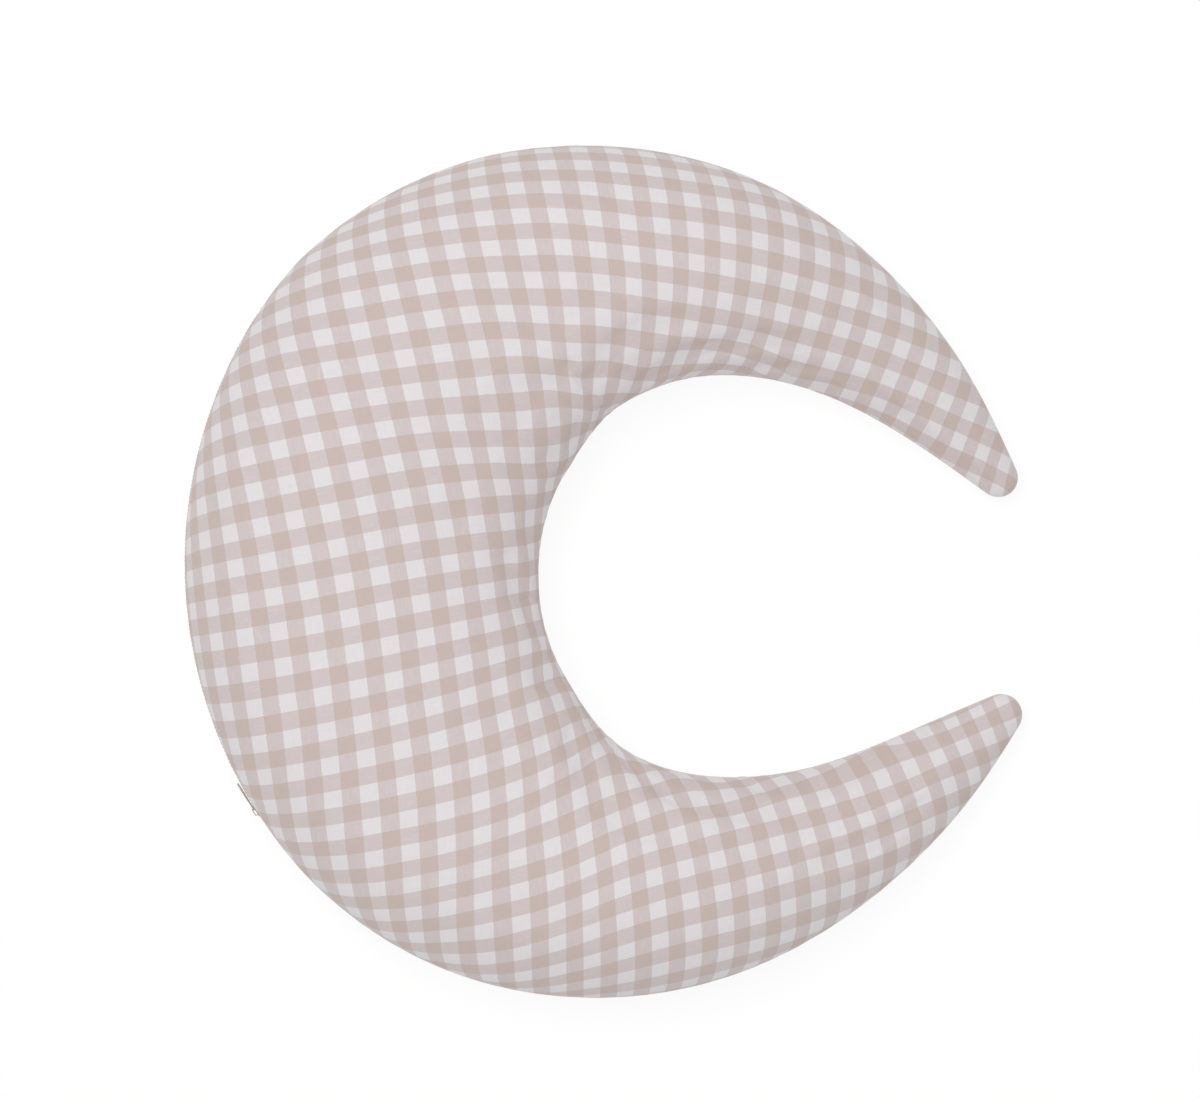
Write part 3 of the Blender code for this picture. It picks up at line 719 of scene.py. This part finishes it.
def simulated(points):
    """The cover blown up by its filling, as cloth held along its seams and cut fuller on its inner curve."""
    coarse = points[::SIM_STEP, ::SIM_STEP]
    rows, wide = coarse.shape[:2]
    from_inner = seam_distance(points)[1][::SIM_STEP, ::SIM_STEP]
    radius = RINGS.radius[::SIM_STEP, None]
    mesh = bpy.data.meshes.new("sim")
    inner = coarse[1:-1]
    faces = grid_faces(rows - 2, wide, closed=True)
    mesh.from_pydata([tuple(p) for p in inner.reshape(-1, 3) * MM], [], faces)
    body = placed("sim", mesh)
    held = body.vertex_groups.new(name="held")
    full = body.vertex_groups.new(name="full")
    seams = np.zeros((rows, wide))
    seams[:, [0, COLUMNS // SIM_STEP]] = 1.0
    seams[[0, 1, 2, -3, -2, -1]] = 1.0
    fullness = smooth(1 - from_inner / 75.0) * smooth(radius, 35.0, 90.0)
    for index, (hold, ease) in enumerate(zip(seams[1:-1].ravel(), fullness[1:-1].ravel())):
        if hold > 0:
            held.add([index], float(hold), "REPLACE")
        if ease > 0:
            full.add([index], float(ease), "REPLACE")
    cloth = body.modifiers.new("cloth", "CLOTH")
    settings = cloth.settings
    for key, value in CLOTH.items():
        setattr(settings, key, value)
    settings.effector_weights.gravity = 0.0
    scene = bpy.context.scene
    for number in range(1, SIM_FRAMES + 1):
        scene.frame_set(number)
    result = body.evaluated_get(bpy.context.evaluated_depsgraph_get()).to_mesh()
    moved = np.zeros(inner.size, np.float32)
    result.vertices.foreach_get("co", moved)
    scene.frame_set(1)
    bpy.data.objects.remove(body)
    shift = np.zeros_like(coarse)
    shift[1:-1] = moved.reshape(inner.shape).astype(float) / MM - inner
    # Back to the fine grid
    shift = np.concatenate([shift, shift[:, :1]], axis=1)
    ring_at = np.linspace(0, 1, points.shape[0]) * (rows - 1)
    column_at = np.arange(points.shape[1]) / SIM_STEP
    return cubic(cubic(shift, ring_at, 0), column_at, 1)


def cubic(field, places, axis):
    """Catmull-Rom interpolation of a field at fractional places along an axis."""
    field = np.moveaxis(field, axis, 0)
    last = len(field) - 1
    low = np.clip(np.floor(places).astype(int), 0, last)
    t = (places - low)[:, None, None]
    a, b, c, d = (field[np.clip(low + k, 0, last)] for k in (-1, 0, 1, 2))
    made = b + 0.5 * t * (c - a + t * (2 * a - 5 * b + 4 * c - d + t * (3 * (b - c) + d - a)))
    return np.moveaxis(made, 0, axis)


def draw_in(points):
    """Draws the cover's outline in a little where the cloth sits inside the sweep, away from the zip."""
    upper = np.cos(np.linspace(0, np.pi, COLUMNS + 1))
    side = np.concatenate([upper, upper[-2:0:-1]])
    places, outer, inner = np.array(DRAWN_IN, float).T
    for depth, sign in ((outer, 1), (inner, -1)):
        here = eased(np.interp(RINGS.places, places, depth), 4)
        share = np.maximum(sign * side, 0.0) ** 1.5
        points[:, :, :2] -= sign * RINGS.outward[:, None] * (here[:, None] * share)[:, :, None]


def cover_shell():
    """The cover's points, how far the cloth lies out from each crown, and how far the filling moved it."""
    points, across = RINGS.shell(COLUMNS)
    draw_in(points)
    moved = np.zeros_like(points)
    shift = simulated(points)
    moved = shift - blurred(shift, *SIM_BLUR)
    size = np.linalg.norm(moved, axis=2, keepdims=True)
    moved *= SIM_CAP * np.tanh(size / SIM_CAP) / np.maximum(size, 1e-6)
    from_outer, from_inner = seam_distance(points)
    moved *= (smooth(from_outer, 4.0, 60.0) * smooth(from_inner, 2.0, 26.0))[:, :, None]
    folds = creases(points) * smooth(from_inner, 1.0, 9.0)
    folds += puckers(points, COLUMNS, from_inner, *INNER_PUCKERS)
    folds += puckers(points, 0, from_outer, *OUTER_PUCKERS)
    moved += vertex_normals(points) * folds[:, :, None]
    return points, across, moved


def puckers(points, column, distance, height, pitch, reach):
    """How far the cloth stands off in the small gathers beside the seam that runs down a column."""
    steps = np.linalg.norm(np.diff(points[:, column], axis=0), axis=1)
    walked = np.concatenate([[0], np.cumsum(steps)])[:, None]
    lower = np.arange(points.shape[1]) > COLUMNS
    turn = 2 * np.pi * walked / pitch + 1.7 * np.sin(2 * np.pi * walked / (4.3 * pitch)) + 2.1 * lower
    uneven = 0.6 + 0.4 * np.sin(2 * np.pi * walked / (7.7 * pitch) + 1.0 + lower)
    near = smooth(distance, 0.5, 0.35 * reach) * (1 - smooth(distance, 0.4 * reach, reach))
    return height * np.sin(turn) * uneven * near * smooth(RINGS.radius, 15.0, 50.0)[:, None]


def creases(points):
    """How far the cloth stands off where it is pulled into short folds beside the inner seam: a valley
    with a low ridge on each side."""
    lift = np.zeros(points.shape[:2])
    upper = points[:, :, 2] > RINGS.seam[:, None] + 2
    for start, end, depth, width in CREASES:
        start, along = np.array(start), np.subtract(end, start)
        length = np.hypot(*along)
        along = along / length
        away = points[:, :, :2] - start
        travel = away @ along
        aside = (away @ np.array([-along[1], along[0]])) / width
        fade = smooth(travel / length, -0.3, 0.35) * (1 - smooth(travel / length, 0.8, 1.5))
        lift += np.where(upper, depth * fade * (1.1 * aside**2 - 1) * np.exp(-(aside**2)), 0)
    return lift


def settled(points, moved, floor):
    """Moved points, none of them below the floor."""
    made = points + moved
    made[:, :, 2] = np.maximum(made[:, :, 2], floor)
    return made


def split_panel(points, side, columns):
    """The columns of one panel, from the outer seam to the inner one."""
    if side > 0:
        return points[:, : columns + 1]
    return np.concatenate([points[:, :1], points[:, columns:][:, ::-1]], axis=1)


def zip_angle(points):
    """Angles about the zip's arc, in degrees from -X, growing downwards."""
    away = points[..., :2] - ARC_CENTRE
    return np.degrees(np.arctan2(-away[..., 1], -away[..., 0]))


def beside_zip(edge, past):
    """Which rings lie beside the zip, or up to some degrees past it, given each ring's outer edge."""
    return (RINGS.radius > BESIDE_ZIP_RADIUS) & (np.abs(zip_angle(edge)) < ZIP_OPEN_ANGLE + past)


def below_zip(edge):
    """The first ring past the zip's lower end, given each ring's outer edge."""
    second_half = RINGS.places > RINGS.places.mean()
    return int(np.argmax((zip_angle(edge) > ZIP_CLOSED_ANGLE) & second_half))


def zip_opening(rows):
    """How far the cover's outer edge is open at each ring, from 0 to 1."""
    shut = smooth(np.abs(zip_angle(rows[:, 0])), ZIP_OPEN_ANGLE, ZIP_CLOSED_ANGLE - ZIP_EASE)
    return np.where(RINGS.radius > BESIDE_ZIP_RADIUS, 1 - shut, 0.0)


def sewn_edges(rows, across, side, opening):
    """The panel with columns added along its seams: the edge dips into the seam, or folds back beside
    the zip, and turns inwards. Gives the rows and how far each lies out from the crown."""
    count = len(rows)
    steps = np.linalg.norm(np.diff(rows, axis=1), axis=2)
    walked = np.concatenate([np.zeros((count, 1)), np.cumsum(steps, axis=1)], axis=1)
    total = walked[:, -1:]
    near = np.array(DIP_COLUMNS) * np.minimum(total / 60.0, 1.0)
    wanted = np.sort(np.concatenate([near, walked[:, 1:-1], total - near[:, ::-1]], axis=1), axis=1)
    reach = SLOT_HALF * opening[:, None]
    opened = np.maximum(wanted, reach + wanted * (SLOT_EASING - reach) / SLOT_EASING)
    made = np.empty((count, wanted.shape[1], 3))
    out = np.empty((count, wanted.shape[1]))
    for i in range(count):
        for axis in range(3):
            made[i, :, axis] = np.interp(opened[i], walked[i], rows[i, :, axis])
        out[i] = np.interp(wanted[i], walked[i], across[i])

    inward = rows[:, -1, :2] - rows[:, 0, :2]
    width = np.linalg.norm(inward, axis=1)[:, None]
    inward = inward / np.maximum(width, 1e-6)
    dip = np.minimum(SEAM_DIP, width / 8)
    closed = 1 - opening[:, None]
    for column, share in enumerate(DIP_SHARES):
        made[:, column, :2] += inward * dip * share * closed
        made[:, -1 - column, :2] -= inward * dip * share
    turned = np.minimum(ALLOWANCE, width / 3)
    hem = made[:, :1].copy()
    fold = made[:, :1].copy()
    hem[:, 0, :2] += inward * (turned * closed + HEM_TUCK * (1 - closed))
    hem[:, 0, 2] += side * (PLY_GAP * closed + HEM_HEIGHT * (1 - closed))[:, 0]
    fold[:, 0, :2] += inward * (0.5 * turned * closed + FOLD_DEPTH * (1 - closed))
    fold[:, 0, 2] += side * 0.25
    far = made[:, -1:].copy()
    far[:, 0, :2] -= inward * turned
    far[:, 0, 2] += side * PLY_GAP
    made = np.concatenate([hem, fold, made, far], axis=1)
    first, last = out[:, :1], out[:, -1:]
    return made, np.concatenate([first + HEM_CLOTH, first + FOLD_CLOTH, out, last - INNER_CLOTH], axis=1)


def piece(made, node):
    """Hides the CAD part that a made piece stands for, and attaches the piece to the body it moves with."""
    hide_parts(node)
    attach(made, {"zip_slider": "slider", "zip_pull": "pull"}.get(node, "pillow"))


def cover_panel(name, side, points, across, node):
    """Makes one panel of the cover and gives its points."""
    rows = split_panel(points, side, COLUMNS)
    rows, out = sewn_edges(rows, across, side, zip_opening(rows))
    checks = check_places(RINGS, out)
    if side < 0:
        checks = checks + LOWER_CUT
    count, wide = rows.shape[:2]
    faces = grid_faces(count, wide, flip=side > 0)
    made = mesh_object(name, rows.reshape(-1, 3), faces, FINISHES["gingham"])
    flat = np.concatenate([checks, np.zeros((count, wide, 1))], axis=2)
    write_vectors(made.data, "cloth", flat.reshape(-1, 3))
    weld_poles(made, count, wide)
    finer = made.modifiers.new("finer", "SUBSURF")
    finer.levels = finer.render_levels = 1
    piece(made, node)
    return rows


def weld_poles(made, count, wide):
    """Joins the points of a grid that lie on each other at the tips."""
    with edited(made.data) as work:
        work.verts.ensure_lookup_table()
        tips = [work.verts[start + k] for start in (0, (count - 1) * wide) for k in range(wide)]
        bmesh.ops.remove_doubles(work, verts=tips, dist=1e-6)


# ---- inside the cover


def inner_layers(moved):
    """The sewn case and the fibre, nested in the cover and moved with it."""
    columns = COLUMNS // 2
    coarse = moved[::2, ::2]
    case = settled(HALF_RINGS.shell(columns, CASE_INSET, CASE_SINK)[0], coarse, CASE_SINK)
    for side, word in ((1, "top"), (-1, "bottom")):
        rows = split_panel(case, side, columns)
        rows[:, [0, -1], 2] += side * PLY_GAP
        faces = grid_faces(*rows.shape[:2], flip=side > 0)
        made = mesh_object(f"inner_case_{word}_cloth", rows.reshape(-1, 3), faces, FINISHES["case"])
        weld_poles(made, *rows.shape[:2])
        piece(made, f"inner_case_{word}_panel")
    fibre = settled(HALF_RINGS.shell(columns, FILL_INSET, FILL_SINK)[0], coarse, FILL_SINK)
    ring, column = np.meshgrid(np.arange(fibre.shape[0]), np.arange(fibre.shape[1]), indexing="ij")
    turn = 2 * np.pi * column / fibre.shape[1]
    lump = np.sin(ring * 0.9 + 3 * np.sin(2 * turn)) * np.sin(5 * turn + ring * 0.31)
    sunk = (0.5 + 0.5 * lump) * np.minimum(HALF_RINGS.radius / 40, 1)[:, None]
    fibre = settled(fibre, -vertex_normals(fibre) * sunk[:, :, None], FILL_SINK)
    faces = grid_faces(*fibre.shape[:2], closed=True, flip=True)
    made = mesh_object("fibre_fill", fibre.reshape(-1, 3), faces, FINISHES["fibre"])
    weld_poles(made, *fibre.shape[:2])
    piece(made, "fibre_filling")


# ---- the zip


def arc_points(angle, inset, rise):
    """Points beside the zip's arc, from arrays of angle, inset and rise."""
    turn = np.radians(angle)
    reach = ARC_RADIUS - np.asarray(inset, float)
    x = ARC_CENTRE[0] - reach * np.cos(turn)
    y = ARC_CENTRE[1] - reach * np.sin(turn)
    return np.stack(np.broadcast_arrays(x, y, SEAM_HEIGHT + np.asarray(rise, float)), axis=-1)


def swept(name, sections, finish):
    """A tube through closed sections (section, corner, xyz), with its ends filled."""
    sections = np.asarray(sections)
    return mesh_object(name, sections.reshape(-1, 3), tube_faces(*sections.shape[:2]), finish)


def tidy_normals(made, sharp=40):
    """Faces all turned outwards, and edges over this angle left sharp."""
    with edited(made.data) as work:
        bmesh.ops.recalc_face_normals(work, faces=work.faces)
    made.data.shade_smooth()
    made.data.set_sharp_from_angle(angle=math.radians(sharp))
    return made


def tubes(name, paths, radius, sides, finish):
    """Many round wires as one object: paths is (path, point, xyz), each closed on itself."""
    paths = np.asarray(paths, float)
    count, length = paths.shape[:2]
    ahead = np.roll(paths, -1, axis=1) - np.roll(paths, 1, axis=1)
    ahead /= np.linalg.norm(ahead, axis=2, keepdims=True)
    middle = paths.mean(axis=1, keepdims=True)
    away = paths - middle
    away -= (away * ahead).sum(axis=2, keepdims=True) * ahead
    away /= np.linalg.norm(away, axis=2, keepdims=True)
    third = np.cross(ahead, away)
    turn = np.linspace(0, 2 * np.pi, sides, endpoint=False)
    ring = away[:, :, None] * np.cos(turn)[:, None] + third[:, :, None] * np.sin(turn)[:, None]
    points = paths[:, :, None] + radius * ring
    faces = []
    for k in range(count):
        faces += grid_faces(length, sides, closed=True, looped=True, start=k * length * sides)
    return mesh_object(name, points.reshape(-1, 3), faces, finish)


def wall_inset(rows, rise):
    """How far inside the zip's arc a panel lies at a rise from the seam, at each ring."""
    half = rows.shape[1] // 2
    reach = ARC_RADIUS - np.hypot(*(rows[:, :half, :2] - ARC_CENTRE).transpose(2, 0, 1))
    lift = np.abs(rows[:, :half, 2] - SEAM_HEIGHT)
    return np.array([np.interp(rise, z, x) for z, x in zip(lift, reach)])


def coil_loops(side):
    """The nylon coil's turns on one side: rounded loops, leaning along the zip, their heads at the middle."""
    pitch = math.degrees(COIL_PITCH / ARC_RADIUS)
    number = int(2 * (ZIP_OPEN_ANGLE - 0.05) / pitch)
    start = -pitch * (number - 1) / 2 + (pitch / 4 if side > 0 else -pitch / 4)
    low, high, head, root = COIL_NEAR + 0.33, COIL_FAR - 0.28, CHANNEL_HALF + 0.2, COIL_TOP - 0.3
    loop = [
        (low, head + 0.25, -0.2), (low - 0.05, (head + root) / 2, -0.08), (low, root - 0.25, 0.05),
        (low + 0.5, root, 0.18), (high - 0.4, root, 0.28), (high, root - 0.3, 0.22),
        (high, head + 0.3, 0.0), (high - 0.4, head, -0.18), (low + 0.4, head - 0.05, -0.25),
    ]
    paths = []
    inset, rise, lean = np.array(loop).T
    for k in range(number):
        paths.append(arc_points(start + k * pitch + lean * pitch * 0.9, inset, side * rise))
    return paths


def stitches(rows, side, name):
    """A row of lockstitches through the cover beside the zip."""
    angle = zip_angle(rows[:, 3])
    inset = wall_inset(rows[:, 2:], STITCH_RISE)
    beside = beside_zip(rows[:, 3], 1)
    order = np.argsort(angle[beside])
    angles, insets = angle[beside][order], inset[beside][order]
    pitch = math.degrees(STITCH_PITCH / ARC_RADIUS)
    number = int(2 * (ZIP_OPEN_ANGLE - 0.3) / pitch)
    points, faces = [], []
    along = np.linspace(-0.5, 0.5, 7)
    turn = np.linspace(0, 2 * np.pi, 6, endpoint=False)
    for k in range(number):
        faces += tube_faces(len(along), len(turn), start=len(points))
        for t in along:
            size = STITCH_SIZE * math.sqrt(max(0.0, 1 - (2 * t) ** 2)) + 0.02
            here = (k - (number - 1) / 2) * pitch + t * pitch * 0.8
            lie = np.interp(here, angles, insets) - STITCH_LIFT + 0.5 * (2 * t) ** 4 * STITCH_SIZE
            rise = side * (STITCH_RISE + size * np.sin(turn))
            points.extend(arc_points(here, lie - size * np.cos(turn), rise))
    return tidy_normals(mesh_object(name, points, faces, FINISHES["thread"]), 80)


def zip_pieces(panels, plain):
    """Tapes, coils with their cords, and stitching; plain holds the panels before the filling moved them."""
    angles = np.linspace(-ZIP_OPEN_ANGLE, ZIP_OPEN_ANGLE, 133)
    spread = np.linspace(-ZIP_OPEN_ANGLE - TAPE_OVERRUN, ZIP_OPEN_ANGLE + TAPE_OVERRUN, 141)
    for side, word in ((1, "upper"), (-1, "lower")):
        beside = beside_zip(plain[side][:, 0], 3)
        sewn = wall_inset(plain[side], TAPE_REACH)[beside].max() + COVER_CLOTH + GAP
        back = TAPE_DEPTH + TAPE_CLOTH
        profile = [
            (TAPE_DEPTH, CHANNEL_HALF), (TAPE_DEPTH - 0.12, 1.2), (TAPE_DEPTH, 2.4),
            ((TAPE_DEPTH + sewn) / 2, 7.0), (sewn, TAPE_REACH - 0.4), (sewn - 0.1, TAPE_REACH),
            (sewn + TAPE_CLOTH, TAPE_REACH), (back, 3.0), (back, CHANNEL_HALF),
        ]
        inset, rise = np.array(profile).T
        tape = [arc_points(a, inset, side * rise) for a in spread]
        made = tidy_normals(swept(f"zip_tape_{word}_cloth", tape, FINISHES["tape"]))
        piece(made, f"zip_tape_{word}")
        coil = tubes(f"zip_coil_{word}_turns", coil_loops(side), COIL_WIRE, 6, FINISHES["coil"])
        piece(tidy_normals(coil, 80), f"zip_coil_{word}")
        turn = np.linspace(0, 2 * np.pi, 8, endpoint=False)
        core = [
            arc_points(a, 1.8 + 0.32 * np.cos(turn), side * (1.45 + 0.3 * np.sin(turn)))
            for a in angles[1:-1]
        ]
        cord = tidy_normals(swept(f"zip_coil_{word}_core", core, FINISHES["tape"]), 80)
        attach(cord, "pillow")
        sewing = stitches(panels[side], side, f"zip_stitching_{word}_row")
        piece(sewing, f"zip_stitching_{word}")


def beveled(made, width):
    """Edges over 30 degrees rounded for good."""
    with edited(made.data) as work:
        bmesh.ops.remove_doubles(work, verts=work.verts, dist=1e-7)
        bmesh.ops.recalc_face_normals(work, faces=work.faces)
        sharp = math.radians(30)
        edges = [e for e in work.edges if len(e.link_faces) == 2 and e.calc_face_angle() > sharp]
        bmesh.ops.bevel(work, geom=edges, offset=width * MM, segments=2, profile=0.6, affect="EDGES",
                        clamp_overlap=True)
    return tidy_normals(made, 45)


def carried(points, angle, place):
    """Points (along the zip, outwards, up) moved to an angle of the arc; place is added first."""
    points = np.asarray(points, float) + (place[0], place[1], 0.0)
    turn = math.radians(angle) + math.pi / 2
    along = np.array([math.cos(turn), math.sin(turn), 0.0])
    out = np.array([-math.sin(turn), math.cos(turn), 0.0])
    centre = np.array([*ARC_CENTRE, SEAM_HEIGHT])
    return centre + points[:, :1] * along + (points[:, 1:2] + ARC_RADIUS) * out + points[:, 2:] * (0, 0, 1.0)


def plate_faces(count):
    """Faces between two outlines of so many points, and over both."""
    sides = [(k, (k + 1) % count, count + (k + 1) % count, count + k) for k in range(count)]
    return [tuple(range(count)), tuple(range(2 * count - 1, count - 1, -1))] + sides


def plate(outline, low, high):
    """(points, faces) of a flat plate, its outline in (along, up), between two heights outwards."""
    return [(x, y, z) for y in (low, high) for x, z in outline], plate_faces(len(outline))


def pin(radius, half, sides=14):
    """(points, faces) of a round pin that lies up and down."""
    turn = np.linspace(0, 2 * np.pi, sides, endpoint=False)
    points = [(radius * math.cos(a), radius * math.sin(a), z) for z in (-half, half) for a in turn]
    return points, plate_faces(sides)


def wire(path, half_width, half_depth, sides=10):
    """(points, faces) of a bar of oval section along a path in (along, outwards)."""
    path = np.array(path, float)
    ahead = np.gradient(path, axis=0)
    ahead /= np.linalg.norm(ahead, axis=1, keepdims=True)
    turn = np.linspace(0, 2 * np.pi, sides, endpoint=False)
    points = []
    for (x, y), (dx, dy) in zip(path, ahead):
        for a in turn:
            off = half_depth * math.cos(a)
            points.append((x - dy * off, y + dx * off, half_width * math.sin(a)))
    return points, tube_faces(len(path), sides)


def assembled(name, parts, angle, place, finish, bevel):
    """One object of several closed shapes that overlap, each with its edges rounded."""
    made = None
    for points, faces in parts:
        item = beveled(mesh_object(name, carried(points, angle, place), faces, finish), bevel)
        if made is None:
            made = item
            continue
        with edited(made.data) as work:
            work.from_mesh(item.data)
        bpy.data.objects.remove(item)
    return tidy_normals(made, 45)


def mirrored(half):
    """A closed outline from its upper half, listed along the zip."""
    return half + upside_down([point for point in reversed(half) if abs(point[1]) > 1e-9])


def upside_down(outline):
    return [(x, -z) for x, z in outline]


SLIDER_ANGLE = ZIP_OPEN_ANGLE - math.degrees(SLIDER_LENGTH / 2 / ARC_RADIUS)


def slider_piece():
    """Two shields, the rails between them, the post that parts the coils, and the pull's crown."""
    shield = mirrored([
        (-4.5, 1.2), (-4.3, 2.1), (-3.7, 2.7), (-1.5, 2.85), (1.0, 3.1), (2.6, 3.45), (3.8, 3.4), (4.4, 2.8),
        (4.4, 1.8), (4.0, 1.0), (3.6, 0.0),
    ])
    rail = [
        (-3.9, 2.3), (-1.5, 2.5), (1.0, 2.75), (2.6, 3.05), (3.9, 3.0), (3.9, 2.5), (2.6, 2.5), (1.0, 2.45),
        (-1.5, 2.4), (-3.9, 2.25),
    ]
    post = [(-3.6, -0.28), (-1.6, -0.28), (-1.2, 0.0), (-1.6, 0.28), (-3.6, 0.28)]
    crown = []
    for turn in np.linspace(0, 1, 19) * math.pi:
        x = -2.72 * np.sign(math.cos(turn)) * abs(math.cos(turn)) ** 0.35
        crown.append((x, 0.45 + 1.95 * abs(math.sin(turn)) ** 0.35))
    parts = [
        plate(shield, -0.45, 0.55),
        plate(shield, -5.25, -4.35),
        plate(rail, -2.35, -0.2),
        plate(upside_down(rail), -2.35, -0.2),
        plate(post, -4.6, -0.2),
        wire(crown, 0.55, 0.33),
    ]
    made = assembled("zip_slider_body", parts, SLIDER_ANGLE, (0, 0), FINISHES["metal"], 0.16)
    piece(made, "zip_slider")


def pull_piece():
    """The pull: a tab with a raised field, on two arms that hold a pin through the slider's crown."""
    hinge = (1.6, 1.3)
    tab = mirrored([
        (2.6, 1.5), (3.2, 1.62), (4.2, 1.5), (5.6, 1.55), (8.0, 1.9), (12.0, 2.35), (16.0, 2.58), (19.0, 2.5),
        (20.8, 2.0), (21.7, 1.1), (22.0, 0.0),
    ])
    field = mirrored([
        (7.5, 0.9), (9.0, 1.2), (12.0, 1.5), (16.0, 1.75), (18.5, 1.6), (19.8, 1.0), (20.3, 0.0),
    ])
    arm = [(-0.45, 0.9), (-0.2, 0.87), (3.4, 0.87), (3.4, 1.6), (0.2, 1.6), (-0.45, 1.45)]
    parts = [
        plate(tab, -0.5, 0.42),
        plate(field, 0.3, 0.575),
        plate(arm, -0.45, 0.45),
        plate(upside_down(arm), -0.45, 0.45),
        pin(0.42, 1.3),
    ]
    made = assembled("zip_pull_tab", parts, SLIDER_ANGLE, hinge, FINISHES["metal"], 0.14)
    piece(made, "zip_pull")


def stop_pieces():
    """The stops, clamped over the coils' ends."""
    half = STOP_LENGTH / 2
    angle = ZIP_OPEN_ANGLE + math.degrees((GAP + half) / ARC_RADIUS)
    for name, sign, low, high in (
        ("zip_top_stop_upper", 1, CHANNEL_HALF, COIL_TOP),
        ("zip_top_stop_lower", 1, -COIL_TOP, -CHANNEL_HALF),
        ("zip_bottom_stop", -1, -COIL_TOP, COIL_TOP),
    ):
        clamp = plate([(-half, low), (half, low), (half, high), (-half, high)], -COIL_FAR, -0.05)
        made = assembled(f"{name}_clamp", [clamp], sign * angle, (0, 0), FINISHES["metal"], 0.3)
        piece(made, name)


# ---- the label


def press_label(cover):
    """Dents the lower panel where the label lies on it."""
    walked = walked_along(cover[:, 0, :2])
    walked -= walked[below_zip(cover[:, 0])] + LABEL_FROM_ZIP + LABEL_WIDTH / 2
    beside = 1 - smooth(np.abs(walked), LABEL_WIDTH / 2 - 1, LABEL_WIDTH / 2 + 7)
    below = RINGS.seam[:, None] - cover[:, :, 2]
    over = smooth(below, 0.4, 3.0) * (1 - smooth(below, LABEL_LENGTH - 2, LABEL_LENGTH + 14))
    outer = np.zeros(cover.shape[1])
    outer[COLUMNS + COLUMNS // 2 :] = 1
    dent = LABEL_PRESS * beside[:, None] * over * outer
    cover[:, :, :2] -= RINGS.outward[:, None] * dent[:, :, None]


def care_label(rows):
    """A blank satin label, folded once and caught in the outer seam below the zip."""
    start = below_zip(rows[:, 3])
    walked = walked_along(rows[start:, 3, :2])
    outer_half = rows.shape[1] // 2
    across, down = 13, 20
    grid = []
    for i in range(across):
        distance = LABEL_FROM_ZIP + LABEL_WIDTH * i / (across - 1)
        place = np.interp(distance, walked, np.arange(len(walked)))
        low, part = int(place), place - int(place)
        row = rows[start + low] * (1 - part) + rows[start + low + 1] * part
        x_y_z = row[2:outer_half].T
        out = row[3, :2] - ARC_CENTRE
        out = out / np.hypot(*out)
        line = []
        for j in range(down):
            share = j / (down - 1)
            z = row[2, 2] - 0.1 - share * (LABEL_LENGTH - 0.4)
            wall = np.array([np.interp(-z, -x_y_z[2], x_y_z[axis]) for axis in range(2)])
            curl = 0.45 + 0.45 * math.sin(2.2 * math.pi * i / (across - 1) + 0.6)
            stand = 0.12 + curl * share**2
            line.append((*(wall + out * stand), z))
        grid.append(line)
    grid = np.array(grid)
    out = grid[across // 2, 0, :2] - ARC_CENTRE
    out = np.array([*(out / np.hypot(*out)), 0.0])
    half = LABEL_PLY / 2
    fold = grid[:, -1:] + out * LABEL_PLY - (0, 0, LABEL_PLY)
    path = np.concatenate([grid, fold, grid[:, ::-1] + out * 2 * LABEL_PLY], axis=1)
    facing = np.concatenate([np.tile(-out, (down, 1)), [(0, 0, -1)], np.tile(out, (down, 1))])
    ring = np.concatenate([path + facing * half, (path - facing * half)[:, ::-1]], axis=1)
    made = tidy_normals(swept("care_label_satin", ring, FINISHES["label"]))
    piece(made, "care_label")


# ---- the room


def stage():
    bpy.ops.mesh.primitive_plane_add(size=40)
    floor = bpy.context.object
    floor.name = "floor"
    n = Nodes("floor_white", 0.9)
    n.set("Base Color", (FLOOR_GREY, FLOOR_GREY, FLOOR_GREY, 1.0))
    n.set("Emission Color", (1.0, 1.0, 1.0, 1.0))
    n.set("Emission Strength", FLOOR_GLOW)
    floor.data.materials.append(n.material)

    world = bpy.data.worlds.new("studio")
    bpy.context.scene.world = world
    world.use_nodes = True
    back = world.node_tree.nodes["Background"]
    back.inputs[0].default_value = (1.0, 1.0, 1.0, 1.0)
    back.inputs[1].default_value = SKY_LEVEL

    lamp = bpy.data.lights.new("overhead", "AREA")
    lamp.size = LAMP_SIZE
    lamp.energy = LAMP_WATTS
    light = placed("overhead", lamp)
    light.location = LAMP_PLACE
    light.rotation_euler = Vector(-np.array(LAMP_PLACE)).to_track_quat("-Z", "Y").to_euler()

    bpy.context.scene.view_settings.view_transform = "Standard"


def camera():
    lens = bpy.data.cameras.new("camera")
    lens.sensor_width = 36.0
    lens.lens = CAMERA_LENS
    lens.clip_start = 0.1
    lens.clip_end = 50.0
    eye = placed("camera", lens)
    eye.location = CAMERA_PLACE
    bpy.context.scene.camera = eye


def main():
    make_finishes()
    points, across, moved = cover_shell()
    cover = settled(points, moved, FLOOR_CLEARANCE)
    press_label(cover)
    panels, plain = {}, {}
    for side, word in ((1, "top"), (-1, "bottom")):
        plain[side] = split_panel(points, side, COLUMNS)
        panels[side] = cover_panel(f"cover_{word}_cloth", side, cover, across, f"cover_{word}_panel")
    inner_layers(moved)
    zip_pieces(panels, plain)
    slider_piece()
    pull_piece()
    stop_pieces()
    care_label(panels[-1])
    for name, node in frame["nodes"].items():
        if "seam_thread" in name or "closing_thread" in name:
            node.data.materials.clear()
            node.data.materials.append(FINISHES["thread"])
    stage()
    camera()


main()

import json
